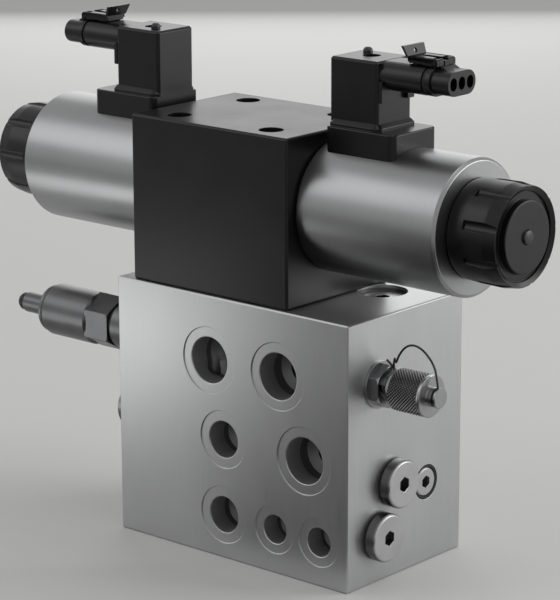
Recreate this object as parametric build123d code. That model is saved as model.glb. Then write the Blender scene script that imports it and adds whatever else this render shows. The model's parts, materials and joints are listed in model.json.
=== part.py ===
from build123d import *
import math
import os

# Closed-centre hydraulic directional valve on its manifold block.
# Millimetres. The origin is the middle of the block's base face, +Z is up, +X runs along
# the spool axis towards the right-hand coil, and the ports are on the -Y face.

os.makedirs("parts", exist_ok=True)

X, Y, Z = (1, 0, 0), (0, 1, 0), (0, 0, 1)
LEFT, FRONT, DOWN = (-1, 0, 0), (0, -1, 0), (0, 0, -1)

# Manifold block
block_length = 135.0
block_depth = 80.0
block_height = 120.0
block_edge = 0.6

# Pipe threads: major radius, threaded depth, spotface radius
g_half = (10.48, 15.0, 15.2)
g_three_eighths = (8.33, 13.0, 13.2)
g_quarter = (6.58, 12.0, 11.1)
spotface_depth = 0.5
mouth_chamfer = 0.3

# Ports on the front face: centre x, centre z, thread, inner drilling radius, its end in y
ports = {
    "p": (28.0, 90.5, g_half, 6.0, -17.0),
    "excess": (-12.1, 90.5, (g_half[0], 13.0, g_half[2]), 5.0, -25.4),
    "right": (-4.1, 55.4, g_three_eighths, 4.0, -3.0),
    "tank": (42.9, 55.3, g_half, 5.6, 17.8),
    "left": (-4.1, 20.3, g_three_eighths, 4.0, -3.0),
    "signal": (25.9, 20.2, g_quarter, 2.5, -17.0),
    "signal_two": (51.1, 20.0, g_quarter, 2.5, -17.0),
}

# Cross drillings in the block; each runs a little past the one it meets
drill_radius = 4.2
drill_tip = 1.5
signal_radius = 3.0
supply_y, supply_z = -18.6, 90.0
tank_y, tank_z = 9.0, 78.0
left_gauge_y, left_gauge_z = -8.4, 43.4
right_gauge_y, right_gauge_z = -18.4, 21.3
priority_y, priority_z = -25.0, 55.3
base_hole_spacing_x, base_hole_spacing_y = 100.0, 50.0
base_hole_radius, base_hole_depth = 3.4, 12.0

# Directional valve: body, bolt pattern and port pattern of a size 10 mounting face
valve_x, valve_y = -13.4, -3.8
valve_length = 91.2
valve_depth = 68.8
valve_height = 75.4
valve_edge = 0.8
bolt_spacing_x = 54.0
bolt_spacing_y = 46.0
bolt_radius = 3.0
bolt_head_radius = 5.0
bolt_head_height = 6.0
bolt_key = 5.0
bolt_engagement = 12.0
bolt_grip = 28.0
head_seat_radius = 5.2
head_seat_height = 6.6
well_radius = 5.4
port_radius = 4.5
p_offset_y = -16.7
work_offset_x, work_offset_y = 10.3, -1.6
tank_offset_x, tank_offset_y = 23.8, 9.5
seal_wire = 1.3
seal_recess_radius = 7.6
seal_recess_depth = 1.36

# Spool bore and spool, measured from the middle of the valve along the axis
spool_height = 42.0
spool_radius = 8.0
spool_clearance = 0.02
spool_neck = 5.0
spool_stub = 4.5
chamber_radius = 12.5
bore_end = 35.0
spool_chambers = ((-28.2, -19.4), (-15.5, -8.5), (-4.4, 4.4), (8.5, 15.5), (19.4, 28.2))
land_start, land_end = 5.2, 18.8
guide_start, guide_end = 28.8, 34.6
stub_end = 41.0

# Solenoids, measured the same way
tube_radius = 14.0
tube_thread = 13.45
tube_fit = 0.05
armature_bore = 11.0
armature_radius = 10.92
spring_chamber = 8.6
spring_floor = 51.0
pole_face = 62.0
armature_start, armature_end = 68.5, 108.0
armature_chamber_end = 116.0
pin_radius = 2.4
coil_radius = 29.75
coil_length = 75.0
coil_wall = 3.6
coil_plate = 5.0
coil_sleeve = 2.4
coil_edge = 1.2
winding_gap = 0.05
nut_thread = 12.0
shoulder_reach = 1.8
tube_reach = 20.4

# Coil nuts
nut_gap = 0.1
nut_length = 25.8
nut_ring_length = 24.6
nut_foot_radius = 20.6
nut_radius = 22.3
nut_front_radius = 21.2
nut_disc_radius = 15.6
nut_groove_outer = 18.4
nut_groove_depth = 3.0
nut_flutes = 12
nut_flute_width = 5.2
nut_flute_depth = 1.5
nut_flute_start = 6.4
nut_seal_space = 15.2
override_radius = 2.5
override_button = 3.2
override_collar = 3.8
override_tip = 113.8
override_out = 0.9
override_pocket_depth = 10.0

# Terminal housings on the coils; "out" is measured from the valve's end face, "rise" from the axis
base_in, base_out = 4.5, 42.0
base_half_width = 15.0
base_rise = 37.0
base_fillet = 3.0
tower_out = 30.6
tower_half_width = 11.5
tower_rise = 66.5
tower_fillet = 1.5
tower_chamfer = 0.9
collar_width, collar_height, collar_chamfer = 2.0, 2.8, 1.6
top_hole_out, top_hole_offset = 17.5, 0.8
top_hole_radius, top_hole_depth = 3.8, 3.0
window_in, window_out = 7.4, 38.9
window_half_width = 11.0
socket_out = 52.4
socket_half_width = 10.4
socket_half_height = 6.2
socket_wall = 1.2
socket_floor = 34.0
socket_rise = 60.2
lug_width, lug_height, lug_thickness = 4.5, 5.0, 2.0
contact_radius = 0.75
contact_pitch = 5.6
terminal_screw_radius = 2.1
terminal_screw_out, terminal_screw_offset = 12.0, 5.0
terminal_screw_height, terminal_screw_dome = 2.6, 1.7
keeper_in, keeper_out = 43.6, 46.8
keeper_height = 1.2
keeper_half_width = 4.5

# Connector plugs
collar_in, collar_out = 54.1, 56.7
plug_out = 66.1
plug_half_width = 9.5
plug_half_height = 5.2
plug_fit = 0.2
nose_in = 37.4
wire_hole_width, wire_hole_height = 4.4, 5.5
wire_hole_depth = 6.0
pivot_out, pivot_rise = 56.2, 68.1
trunnion_radius = 0.9
trunnion_fit = 0.07
ear_half_width = 1.4
latch_knuckle = 1.6
latch_half_width = 6.3
latch_slot = 1.65
latch_in = 42.0
latch_thickness = 1.8
latch_tooth = 1.5
latch_tooth_drop = 1.3
flag_rise, flag_back = 4.0, 2.1
flag_thickness = 1.3
flag_foot_half, flag_top_half = 6.15, 7.1

# Relief cartridge on the left face; distances run outwards from that face
relief_cavity = 10.0
relief_cavity_depth = 30.0
relief_collar_radius, relief_collar_end = 11.2, 16.4
relief_neck_radius = 10.0
relief_hex, relief_hex_start, relief_hex_end = 22.4, 17.6, 32.6
relief_body_radius, relief_body_end = 12.25, 60.8
relief_nut_radius, relief_nut_end = 11.3, 63.4
relief_stem_radius, relief_stem_end = 4.83, 80.2
relief_tip_radius, relief_tip_end = 4.3, 85.1
relief_stem_fit = 0.07
relief_bore = 7.4
relief_seat_bore = 3.0
relief_seat_face = 16.0
relief_cone_start, relief_cone_end = 3.2, 6.6
relief_poppet_radius = 5.0
relief_spring_start, relief_spring_end = -4.0, 40.0
relief_spring_radius, relief_spring_wire = 5.4, 2.2
relief_plate = 4.0

# Test point on the right face; distances run outwards from that face
gauge_flange_radius, gauge_flange = 10.5, 1.2
gauge_hex, gauge_hex_end = 17.0, 6.0
gauge_neck_radius, gauge_neck_end = 5.6, 10.2
gauge_thread_radius, gauge_thread_end = 7.9, 22.0
gauge_bore = 2.2
gauge_seat_bore = 1.3
gauge_spring_start = 3.0
gauge_poppet_start, gauge_poppet_end = 14.0, 19.0
cap_radius, cap_start, cap_end = 9.2, 9.8, 28.5
cap_fit = 0.08
cap_wall = 4.0
nub_radius, nub_neck_end = 4.3, 31.0
nub_groove_radius, nub_groove_end = 3.2, 32.2
nub_head_radius, nub_end = 4.5, 33.3
tether_wire = 0.9
tether_neck = 8.2
tether_peak_out, tether_peak = 17.6, 20.7

# Collared plugs and flush plugs
plug_collar_radius = 10.9
plug_collar_end = 6.3
plug_seal_radius, plug_seal_end = 10.4, 1.3
plug_key = 6.0
plug_key_depth = 4.5
flush_recess_radius = 7.96
flush_recess_depth = 1.3
flush_plug_length = 9.0
flush_key = 5.0
top_recess_radius = 11.2
top_recess_depth = 2.6
top_plug_x, top_plug_y = 41.0, 16.3
flush_plug_y, flush_plug_z = 14.9, 37.3
collared_y, collared_z = -25.0, 55.3

# Check valve under the top plug, priority spool and shuttle ball
check_bore = 6.0
check_seat_radius = 8.0
check_bottom = 34.0
check_shoulder = 66.0
check_seat_bore = 4.4
check_seat_height = 5.0
check_guide_start, check_guide_end = 5.5, 1.6
priority_bore = 6.0
priority_end = -14.0
priority_land = 12.0
priority_feeds = ((-19.0, -4.0), (-31.0, 4.0))
shuttle_bore = 3.5
shuttle_ball_radius = 3.0
shuttle_x = 38.5

block_front = -block_depth / 2
block_right = block_length / 2
block_left = -block_length / 2
valve_base = block_height
valve_top = valve_base + valve_height
axis_z = valve_base + spool_height
valve_end = valve_length / 2
coil_end = valve_end + coil_length
nut_end = coil_end + nut_length
tube_shoulder = coil_end + shoulder_reach
tube_end = coil_end + tube_reach
override_pocket = tube_end - override_pocket_depth
base_top = axis_z + base_rise
tower_top = axis_z + tower_rise
socket_z = axis_z + socket_rise
pivot_z = axis_z + pivot_rise
axis_origin = (valve_x, valve_y, axis_z)
turn_axis = Axis((valve_x, valve_y, 0), Z)


def frame(origin, toward):
    """A plane at origin facing toward; a hexagon drawn on it points up, or along X if it faces up."""
    side = X if abs(toward[2]) > 0.5 else Z
    return Plane(origin=origin, x_dir=side, z_dir=toward)


def rod(origin, toward, start, end, radius):
    """A round bar from start to end, measured from origin."""
    return extrude(frame(origin, toward).offset(start) * Circle(radius), end - start)


def ring(origin, toward, start, end, outer, inner):
    """A tube from start to end."""
    return rod(origin, toward, start, end, outer) - rod(origin, toward, start, end, inner)


def hex_bar(origin, toward, start, end, across_flats):
    """A hexagonal bar from start to end."""
    outline = RegularPolygon(across_flats / 2, 6, major_radius=False)
    return extrude(frame(origin, toward).offset(start) * outline, end - start)


def turned(origin, toward, profile):
    """A turned piece from its (distance, radius) outline."""
    plane = frame(origin, toward)
    points = [plane.from_local_coords(Vector(radius, 0, distance)) for distance, radius in profile]
    return revolve(make_face(Polyline(points, close=True)), Axis(origin, toward))


def o_ring(origin, toward, start, mean_radius, wire):
    """A round-section ring that starts at start."""
    plane = frame(origin, toward)
    section = Plane(plane.from_local_coords(Vector(mean_radius, 0, start + wire / 2)), z_dir=plane.y_dir)
    return revolve(section * Circle(wire / 2), Axis(origin, toward))


def spring(origin, toward, start, end, mean_radius, wire, turns):
    """A wound compression spring from start to end."""
    height = end - start - wire
    base = Vector(origin) + Vector(toward) * (start + wire / 2)
    path = Helix(height / turns, height, mean_radius, center=base, direction=toward)
    return sweep(Plane(origin=path @ 0, z_dir=path % 0) * Circle(wire / 2), path=path)


def slab(low, high):
    """A box from its low corner to its high corner."""
    size = [b - a for a, b in zip(low, high)]
    return Pos(*low) * Box(*size, align=(Align.MIN, Align.MIN, Align.MIN))


def stadium(out_start, out_end, half_width, half_height, height=socket_z):
    """An obround bar along the spool axis, measured from the valve's end face."""
    plane = Plane(origin=(valve_x + valve_end + out_start, valve_y, height), x_dir=Y, z_dir=X)
    return extrude(plane * SlotOverall(2 * half_width, 2 * half_height), out_end - out_start)


def side_slab(out_start, out_end, half_width, low_z, high_z, centre=0.0):
    """A box on the right-hand solenoid, measured from the valve's end face and the axis plane."""
    start = valve_x + valve_end + out_start
    end = valve_x + valve_end + out_end
    middle = valve_y + centre
    return slab((start, middle - half_width, low_z), (end, middle + half_width, high_z))


def port_bore(origin, toward, thread, spot=True):
    """The threaded mouth of a port, cut inwards from origin, with its chamfer and spotface."""
    radius, depth, face_radius = thread
    inwards = tuple(-value for value in toward)
    floor = spotface_depth if spot else 0.0
    cut = turned(origin, inwards, [
        (floor, 0), (floor, radius + mouth_chamfer), (floor + mouth_chamfer, radius), (depth, radius),
        (depth + radius * 0.2, radius * 0.4), (depth + radius * 0.2, 0)])
    return cut + rod(origin, inwards, 0, floor, face_radius) if spot else cut


def flush_cut(origin, toward):
    """The recessed hole of a flush plug."""
    inwards = tuple(-value for value in toward)
    return (rod(origin, inwards, 0, flush_recess_depth, flush_recess_radius)
            + rod(origin, inwards, 0, flush_plug_length + 3, g_quarter[0]))


def manifold_block():
    """The drilled block that everything is mounted on."""
    block = Box(block_length, block_depth, block_height, align=(Align.CENTER, Align.CENTER, Align.MIN))
    block = chamfer(block.edges(), block_edge)
    for x, z, thread, inner, end_y in ports.values():
        block -= port_bore((x, block_front, z), FRONT, thread)
        block -= rod((x, block_front, z), Y, thread[1], end_y - block_front, inner)
    # Mouths for the test point, relief cartridge and the three collared plugs
    for y, z in ((supply_y, supply_z), (left_gauge_y, left_gauge_z), (right_gauge_y, right_gauge_z)):
        block -= port_bore((block_right, y, z), X, g_quarter, spot=False)
    block -= port_bore((block_left, priority_y, priority_z), LEFT, g_quarter, spot=False)
    # Supply line, relief cavity and the lines that carry the two working ports down
    supply_length = block_length - relief_cavity_depth
    block -= rod((block_right, supply_y, supply_z), LEFT, 10, supply_length, drill_radius)
    block -= rod((block_left, supply_y, supply_z), X, 0, relief_cavity_depth, relief_cavity)
    block -= rod((valve_x, valve_y + p_offset_y, valve_base), DOWN, 0, valve_base - supply_z + drill_tip,
                 port_radius)
    left_x, right_x = valve_x - work_offset_x, valve_x + work_offset_x
    work_y = valve_y + work_offset_y
    left_z, right_z = ports["left"][1], ports["right"][1]
    block -= rod((left_x, work_y, valve_base), DOWN, 0, valve_base - left_z + drill_tip, port_radius)
    block -= rod((right_x, work_y, valve_base), DOWN, 0, valve_base - right_z + drill_tip, port_radius)
    left_length = ports["left"][0] - block_left + drill_tip
    block -= rod((block_left, work_y, left_z), X, 0, left_length, drill_radius)
    # Tank line, with the check valve's bore where it meets the tank port
    tank_length = top_plug_x - block_left + drill_tip
    block -= rod((block_left, tank_y, tank_z), X, 0, tank_length, drill_radius)
    for offset in (-tank_offset_x, tank_offset_x):
        top = (valve_x + offset, valve_y + tank_offset_y, valve_base)
        block -= rod(top, DOWN, 0, valve_base - tank_z + drill_tip, port_radius)
    check_top = (top_plug_x, top_plug_y, block_height)
    block -= rod(check_top, DOWN, 0, block_height - check_shoulder, check_seat_radius)
    block -= rod(check_top, DOWN, 0, block_height - check_bottom, check_bore)
    block -= rod(check_top, DOWN, 0, top_recess_depth, top_recess_radius)
    block -= rod(check_top, DOWN, 0, top_recess_depth + 10, g_three_eighths[0])
    block -= flush_cut((block_right, flush_plug_y, flush_plug_z), X)
    drain_length = block_right - top_plug_x + drill_tip
    block -= rod((block_right, flush_plug_y, flush_plug_z), LEFT, 0, drain_length, signal_radius)
    # Plugged ends of the tank line, the left line and the relief return
    for origin, toward in gallery_ends():
        block -= flush_cut(origin, toward)
    back = (block_left + 17.5, -block_front, tank_z + 3)
    block -= rod(back, FRONT, 0, -block_front - supply_y + drill_tip, signal_radius)
    # Gauge lines, shuttle line and the priority spool's bore with its two feeds
    gauge_length = block_right - left_x + drill_tip
    block -= rod((block_right, left_gauge_y, left_gauge_z), LEFT, 0, gauge_length, signal_radius)
    shuttle_end = ports["signal"][0] - 2
    block -= rod((block_right, right_gauge_y, right_gauge_z), LEFT, 0, block_right - shuttle_end, shuttle_bore)
    block -= rod((block_left, priority_y, priority_z), X, 0, priority_end - block_left, priority_bore)
    for x, offset in priority_feeds:
        feed = (x, priority_y + offset, supply_z)
        block -= rod(feed, DOWN, 0, supply_z - priority_z + drill_tip, signal_radius)
    for x, y in bolt_places():
        block -= rod((x, y, block_height), DOWN, 0, bolt_engagement + 4, bolt_radius)
    for x in (-base_hole_spacing_x / 2, base_hole_spacing_x / 2):
        for y in (-base_hole_spacing_y / 2, base_hole_spacing_y / 2):
            block -= rod((x, y, 0), Z, 0, base_hole_depth, base_hole_radius)
    return block


def gallery_ends():
    """Where the block's cross drillings are closed by flush plugs."""
    work_y = valve_y + work_offset_y
    return (((block_left, tank_y, tank_z), LEFT), ((block_left, work_y, ports["left"][1]), LEFT),
            ((block_left + 17.5, -block_front, tank_z + 3), Y))


def bolt_places():
    """The four bolt centres of the valve's mounting face."""
    return [(valve_x + i * bolt_spacing_x / 2, valve_y + j * bolt_spacing_y / 2)
            for i in (-1, 1) for j in (-1, 1)]


def face_ports():
    """The five holes of the valve's mounting face, from its centre."""
    return ((0, p_offset_y), (-work_offset_x, work_offset_y), (work_offset_x, work_offset_y),
            (-tank_offset_x, tank_offset_y), (tank_offset_x, tank_offset_y))


def valve_body():
    """The cast valve body with its spool bore and five chambers."""
    body = Pos(valve_x, valve_y, valve_base) * Box(
        valve_length, valve_depth, valve_height, align=(Align.CENTER, Align.CENTER, Align.MIN))
    body = chamfer(body.edges(), valve_edge)
    body -= rod(axis_origin, X, -valve_end, valve_end, spool_radius)
    for start, end in spool_chambers:
        body -= rod(axis_origin, X, start, end, chamber_radius)
    for toward in (X, LEFT):
        body -= rod(axis_origin, toward, bore_end, valve_end, tube_thread)
    for dx, dy in face_ports():
        foot = (valve_x + dx, valve_y + dy, valve_base)
        body -= rod(foot, Z, 0, spool_height, port_radius - 0.5)
        body -= rod(foot, Z, 0, seal_recess_depth, seal_recess_radius)
    # The supply hole reaches its chamber through a cored slot
    body -= rod((valve_x, valve_y + p_offset_y, axis_z), Z, -1, 5, port_radius - 0.5)
    body -= slab((valve_x - 3.2, valve_y + p_offset_y, axis_z - 3.2),
                 (valve_x + 3.2, valve_y - spool_radius, axis_z + 3.2))
    for x, y in bolt_places():
        body -= rod((x, y, valve_base), Z, 0, valve_height, bolt_radius + 0.3)
        body -= rod((x, y, valve_base), Z, bolt_grip, valve_height, head_seat_radius)
        body -= rod((x, y, valve_base), Z, bolt_grip + head_seat_height, valve_height, well_radius)
    return body


def mounting_screws():
    """Four socket-head screws that hold the valve down."""
    screws = []
    for x, y in bolt_places():
        place = (x, y, valve_base)
        screw = rod(place, Z, -bolt_engagement, bolt_grip, bolt_radius)
        screw += rod(place, Z, bolt_grip, bolt_grip + bolt_head_height, bolt_head_radius)
        socket_floor_z = bolt_grip + bolt_head_height / 2
        screws.append(screw - hex_bar(place, Z, socket_floor_z, bolt_grip + bolt_head_height, bolt_key))
    return screws


def interface_orings():
    """Five rings in the recesses under the valve."""
    radius = seal_recess_radius - seal_wire
    return [o_ring((valve_x + dx, valve_y + dy, valve_base), Z, 0.02, radius, seal_wire)
            for dx, dy in face_ports()]


def main_spool():
    """The closed-centre spool: two wide lands shut all four paths in the middle position."""
    land = spool_radius - spool_clearance
    half = [(0, spool_neck), (land_start, spool_neck), (land_start, land), (land_end, land),
            (land_end, spool_neck), (guide_start, spool_neck), (guide_start, land), (guide_end, land),
            (guide_end, spool_stub), (stub_end, spool_stub)]
    outline = [(stub_end, 0)] + half[::-1] + [(-distance, radius) for distance, radius in half[1:]]
    return turned(axis_origin, X, outline + [(-stub_end, 0)])


def spring_seat():
    """The washer on the spool's stub that its centring spring pushes on."""
    return ring(axis_origin, X, guide_end, guide_end + 1.8, spool_radius - 0.4, spool_stub)


def centering_spring():
    """The spring that returns the spool to the middle."""
    return spring(axis_origin, X, guide_end + 1.8, spring_floor, 6.3, 1.4, 5)


def armature_tube():
    """The pressure tube that the coil slides over, screwed into the valve's end face."""
    outline = [(bore_end, spring_chamber), (bore_end, tube_thread), (valve_end, tube_thread),
               (valve_end, tube_radius), (tube_shoulder, tube_radius), (tube_shoulder, nut_thread),
               (tube_end, nut_thread), (tube_end, override_collar + 0.3),
               (override_pocket, override_collar + 0.3), (override_pocket, override_radius + tube_fit),
               (armature_chamber_end, override_radius + tube_fit), (armature_chamber_end, armature_bore),
               (pole_face, armature_bore), (pole_face, pin_radius + tube_fit),
               (spring_floor, pin_radius + tube_fit), (spring_floor, spring_chamber)]
    return turned(axis_origin, X, outline)


def armature():
    """The sliding iron core, with two flats that let oil past."""
    core = rod(axis_origin, X, armature_start, armature_end, armature_radius)
    core = chamfer(core.edges(), 0.8)
    for side in (-1, 1):
        flat = slab((valve_x + armature_start, valve_y - 2.5, axis_z + side * armature_radius - 1.0),
                    (valve_x + armature_end, valve_y + 2.5, axis_z + side * armature_radius + 1.0))
        core -= flat
    return core - rod(axis_origin, X, armature_start, armature_start + 6, pin_radius)


def push_pin():
    """The rod between the armature and the spool."""
    return rod(axis_origin, X, stub_end, armature_start + 6, pin_radius)


def coil_shell():
    """The steel coil can with both end plates and the sleeve round the tube."""
    inner = tube_radius + tube_fit
    outer = chamfer(rod(axis_origin, X, valve_end, coil_end, coil_radius).edges(), coil_edge)
    shell = outer - rod(axis_origin, X, valve_end, coil_end, inner)
    shell -= ring(axis_origin, X, valve_end + coil_plate, coil_end - coil_plate,
                  coil_radius - coil_wall, inner + coil_sleeve)
    return shell - side_slab(window_in, window_out, window_half_width, axis_z + coil_radius - 12, base_top)


def coil_winding():
    """The copper winding inside the coil can."""
    return ring(axis_origin, X, valve_end + coil_plate + winding_gap, coil_end - coil_plate - winding_gap,
                coil_radius - coil_wall - winding_gap, tube_radius + tube_fit + coil_sleeve + winding_gap)


def coil_nut():
    """The fluted plastic nut that clamps the coil, with its deep ring groove and raised disc."""
    foot = coil_end + nut_gap
    ring_face = coil_end + nut_ring_length
    outline = [(foot, nut_seal_space), (foot, nut_foot_radius), (foot + 0.9, nut_foot_radius + 0.6),
               (foot + nut_flute_start - 1.2, nut_foot_radius + 0.4),
               (foot + nut_flute_start, nut_radius - 0.3), (coil_end + 14.6, nut_radius),
               (ring_face - 3.0, nut_radius - 0.1), (ring_face, nut_front_radius - 0.8),
               (ring_face, nut_groove_outer), (ring_face - nut_groove_depth, nut_groove_outer - 0.5),
               (ring_face - nut_groove_depth, nut_disc_radius + 0.3),
               (nut_end - 0.4, nut_disc_radius), (nut_end, nut_disc_radius - 0.4),
               (nut_end, override_button + 0.1), (tube_end, override_button + 0.1),
               (tube_end, nut_thread + 0.08), (tube_shoulder + 1.2, nut_thread + 0.08),
               (tube_shoulder + 1.2, nut_seal_space)]
    nut = turned(axis_origin, X, outline)
    floor = nut_radius - nut_flute_depth
    groove = slab((foot + nut_flute_start, -nut_flute_width / 2, floor),
                  (ring_face + 1, nut_flute_width / 2, nut_radius + 1))
    for step in range(nut_flutes):
        turn = Rot(step * 360 / nut_flutes, 0, 0)
        nut -= Pos(*axis_origin) * turn * groove
    return nut


def coil_seal():
    """The ring between the coil and its nut."""
    return o_ring(axis_origin, X, coil_end, tube_radius + 0.02 + 0.5, 1.0)


def override_pin():
    """The manual override: a spring-returned pin whose button shows in the nut's disc."""
    collar = tube_end - 1.6
    return turned(axis_origin, X, [
        (override_tip, 0), (override_tip, override_radius - 0.4), (override_tip + 0.4, override_radius),
        (collar, override_radius), (collar, override_collar), (tube_end - 0.1, override_collar),
        (tube_end - 0.1, override_button), (nut_end - override_out - 0.4, override_button),
        (nut_end - override_out, override_button - 0.4), (nut_end - override_out, 0)])


def override_spring():
    """The pin's return spring."""
    return spring(axis_origin, X, override_pocket, tube_end - 1.6, 3.3, 0.7, 4)


def terminal_housing():
    """The moulded base and tower on the coil, with the connector socket on its outer face."""
    base = side_slab(base_in, base_out, base_half_width, axis_z + coil_radius - 12, base_top)
    base = fillet(base.edges().filter_by(Axis.Z), base_fillet)
    base = chamfer(base.faces().sort_by(Axis.Z)[-1].edges(), 0.4)
    base -= rod(axis_origin, X, valve_end, coil_end, coil_radius)
    foot = side_slab(window_in, window_out, window_half_width, axis_z + coil_radius - 12, base_top - 1)
    foot -= rod(axis_origin, X, valve_end, coil_end, coil_radius - coil_wall)
    tower = side_slab(base_in, tower_out, tower_half_width, base_top - 1, tower_top)
    tower = fillet(tower.edges().filter_by(Axis.Z), tower_fillet)
    tower = chamfer(tower.faces().sort_by(Axis.Z)[-1].edges(), tower_chamfer)
    collar = side_slab(base_in, tower_out + collar_width, tower_half_width + collar_width,
                       base_top - 1, base_top + collar_height)
    collar = fillet(collar.edges().filter_by(Axis.Z), tower_fillet + collar_width)
    collar = chamfer(collar.faces().sort_by(Axis.Z)[-1].edges(), collar_chamfer)
    housing = base + foot + collar + tower
    housing += stadium(tower_out - 2, socket_out, socket_half_width, socket_half_height)
    housing += keeper()
    for side in (-1, 1):
        housing += side_slab(tower_out, tower_out + lug_thickness, lug_width / 2,
                             socket_z - socket_half_height - lug_height, socket_z - 2,
                             side * (tower_half_width - lug_width / 2 - 0.4))
    housing -= stadium(socket_floor, socket_out, socket_half_width - socket_wall,
                       socket_half_height - socket_wall)
    for place in contact_places():
        housing -= rod(place, X, socket_floor - 6, socket_floor, contact_radius)
    top_hole = (valve_x + valve_end + top_hole_out, valve_y + top_hole_offset, tower_top)
    housing -= rod(top_hole, Z, -top_hole_depth, 1, top_hole_radius)
    return housing - terminal_screw()


def keeper():
    """The ramp on the socket that the latch hooks behind."""
    top = socket_z + socket_half_height
    start, end = (valve_x + valve_end + value for value in (keeper_in, keeper_out))
    outline = [(start, top - 0.5), (start, top + keeper_height), (start + 1.2, top + keeper_height),
               (end, top), (end, top - 0.5)]
    face = make_face(Polyline([(x, valve_y - keeper_half_width, z) for x, z in outline], close=True))
    return extrude(face, 2 * keeper_half_width, dir=Y)


def terminal_screw():
    """The small domed screw beside the hole in the tower's top."""
    place = (valve_x + valve_end + terminal_screw_out, valve_y + terminal_screw_offset, tower_top)
    screw = rod(place, Z, -6, terminal_screw_height, terminal_screw_radius)
    return fillet(screw.edges().sort_by(Axis.Z)[-1], terminal_screw_dome)


def contact_places():
    """The three contacts' lines, measured from the valve's end face."""
    return [(valve_x + valve_end, valve_y + step * contact_pitch, socket_z) for step in (-1, 0, 1)]


def contact_pins():
    """The coil's contact pins in the socket."""
    return [rod(place, X, socket_floor - 6, socket_out - 4, contact_radius) for place in contact_places()]


def connector_seal():
    """The rubber ring between the socket's rim and the plug's collar."""
    outer = stadium(socket_out, collar_in, socket_half_width - 0.6, socket_half_height - 0.6)
    inner = stadium(socket_out, collar_in, socket_half_width - socket_wall - plug_fit,
                    socket_half_height - socket_wall - plug_fit)
    return outer - inner


def connector_plug():
    """The plug in the socket, open at the back with three wire holes, with the latch's pivot ear."""
    nose = stadium(nose_in, collar_in, socket_half_width - socket_wall - plug_fit,
                   socket_half_height - socket_wall - plug_fit)
    plug = nose + stadium(collar_in, collar_out, socket_half_width, socket_half_height)
    plug += stadium(collar_out, plug_out, plug_half_width, plug_half_height)
    plug_top = socket_z + plug_half_height
    plug += side_slab(pivot_out - 2.0, pivot_out + 2.0, ear_half_width, plug_top - 1, pivot_z + 0.9)
    pivot = (valve_x + valve_end + pivot_out, valve_y, pivot_z)
    plug += rod(pivot, Y, -latch_half_width + 0.8, latch_half_width - 0.8, trunnion_radius)
    ramp_start = valve_x + valve_end + pivot_out + latch_knuckle + 0.5
    outline = [(ramp_start, plug_top - 1), (ramp_start, plug_top + 1.4), (ramp_start + 1, plug_top + 1.4),
               (ramp_start + 4, plug_top - 0.3), (ramp_start + 4, plug_top - 1)]
    ramp = make_face(Polyline([(x, valve_y - 4.5, z) for x, z in outline], close=True))
    plug += extrude(ramp, 9.0, dir=Y)
    for x, y, z in contact_places():
        plug -= rod((x, y, z), X, nose_in, socket_out - 3, contact_radius + 0.05)
        hole = Plane(origin=(x + plug_out - wire_hole_depth, y, z), x_dir=Z, z_dir=X)
        plug -= extrude(hole * SlotOverall(wire_hole_height, wire_hole_width), wire_hole_depth)
    return plug


def plug_latch():
    """The lever on the plug: two rails, knuckles on the trunnions, a tooth and a thumb flag."""
    inner = valve_x + valve_end + latch_in
    pivot_x = valve_x + valve_end + pivot_out
    under = pivot_z - 0.1
    plate = side_slab(latch_in, pivot_out + 1.2, latch_half_width, under, under + latch_thickness)
    plate = fillet(plate.edges().filter_by(Axis.Z), 0.8)
    pivot = (pivot_x, valve_y, pivot_z)
    lever = plate + rod(pivot, Y, -latch_half_width, latch_half_width, latch_knuckle)
    lever += side_slab(latch_in, latch_in + latch_tooth, 5.0, under - latch_tooth_drop, under + 0.2)
    foot_z, top_z = under + latch_thickness - 0.6, under + latch_thickness + flag_rise
    foot = Plane(origin=(inner + 0.1, valve_y, foot_z), x_dir=Y, z_dir=Z)
    top = Plane(origin=(inner + 0.1 - flag_back, valve_y, top_z), x_dir=Y, z_dir=Z)
    sections = [foot * Rectangle(2 * flag_foot_half, flag_thickness),
                top * Rectangle(2 * flag_top_half, flag_thickness)]
    lever += loft(Sketch() + sections)
    slot_half = latch_slot
    lever -= side_slab(latch_in + 4.5, pivot_out + 4, slot_half, under - 3, under + latch_thickness + 1)
    lever -= rod(pivot, Y, -latch_half_width - 1, latch_half_width + 1, trunnion_radius + trunnion_fit)
    flag_hole = (inner - flag_back / 2, valve_y, (foot_z + top_z) / 2)
    return lever - rod(flag_hole, X, -3, 3, 1.0)


def relief_place():
    """The relief cartridge's axis on the left face."""
    return (block_left, supply_y, supply_z)


def relief_body():
    """The cartridge body: threaded nose, collar, hexagon and round spring housing."""
    place = relief_place()
    seat = -relief_seat_face
    body = turned(place, LEFT, [
        (seat, relief_bore), (seat, relief_cavity), (0, relief_cavity), (0, relief_collar_radius),
        (relief_collar_end - 0.5, relief_collar_radius), (relief_collar_end, relief_collar_radius - 0.5),
        (relief_collar_end, relief_neck_radius), (relief_hex_start, relief_neck_radius),
        (relief_hex_end - 1, relief_neck_radius), (relief_hex_end - 1, relief_body_radius - 0.6),
        (relief_hex_end, relief_body_radius), (relief_body_end - 1.4, relief_body_radius),
        (relief_body_end, relief_body_radius - 0.9),
        (relief_body_end, relief_stem_radius + relief_stem_fit),
        (relief_body_end - 6, relief_stem_radius + relief_stem_fit), (relief_body_end - 6, relief_bore)])
    hexagon = hex_bar(place, LEFT, relief_hex_start, relief_hex_end, relief_hex)
    corners = turned(place, LEFT, [
        (relief_hex_start, 0), (relief_hex_start, relief_hex / 2 + 0.8),
        (relief_hex_start + 0.8, relief_hex / 2 + 2), (relief_hex_end, relief_hex / 2 + 2),
        (relief_hex_end, 0)])
    hexagon = (hexagon & corners) - rod(place, LEFT, relief_hex_start, relief_hex_end, relief_bore)
    return body + hexagon


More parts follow.
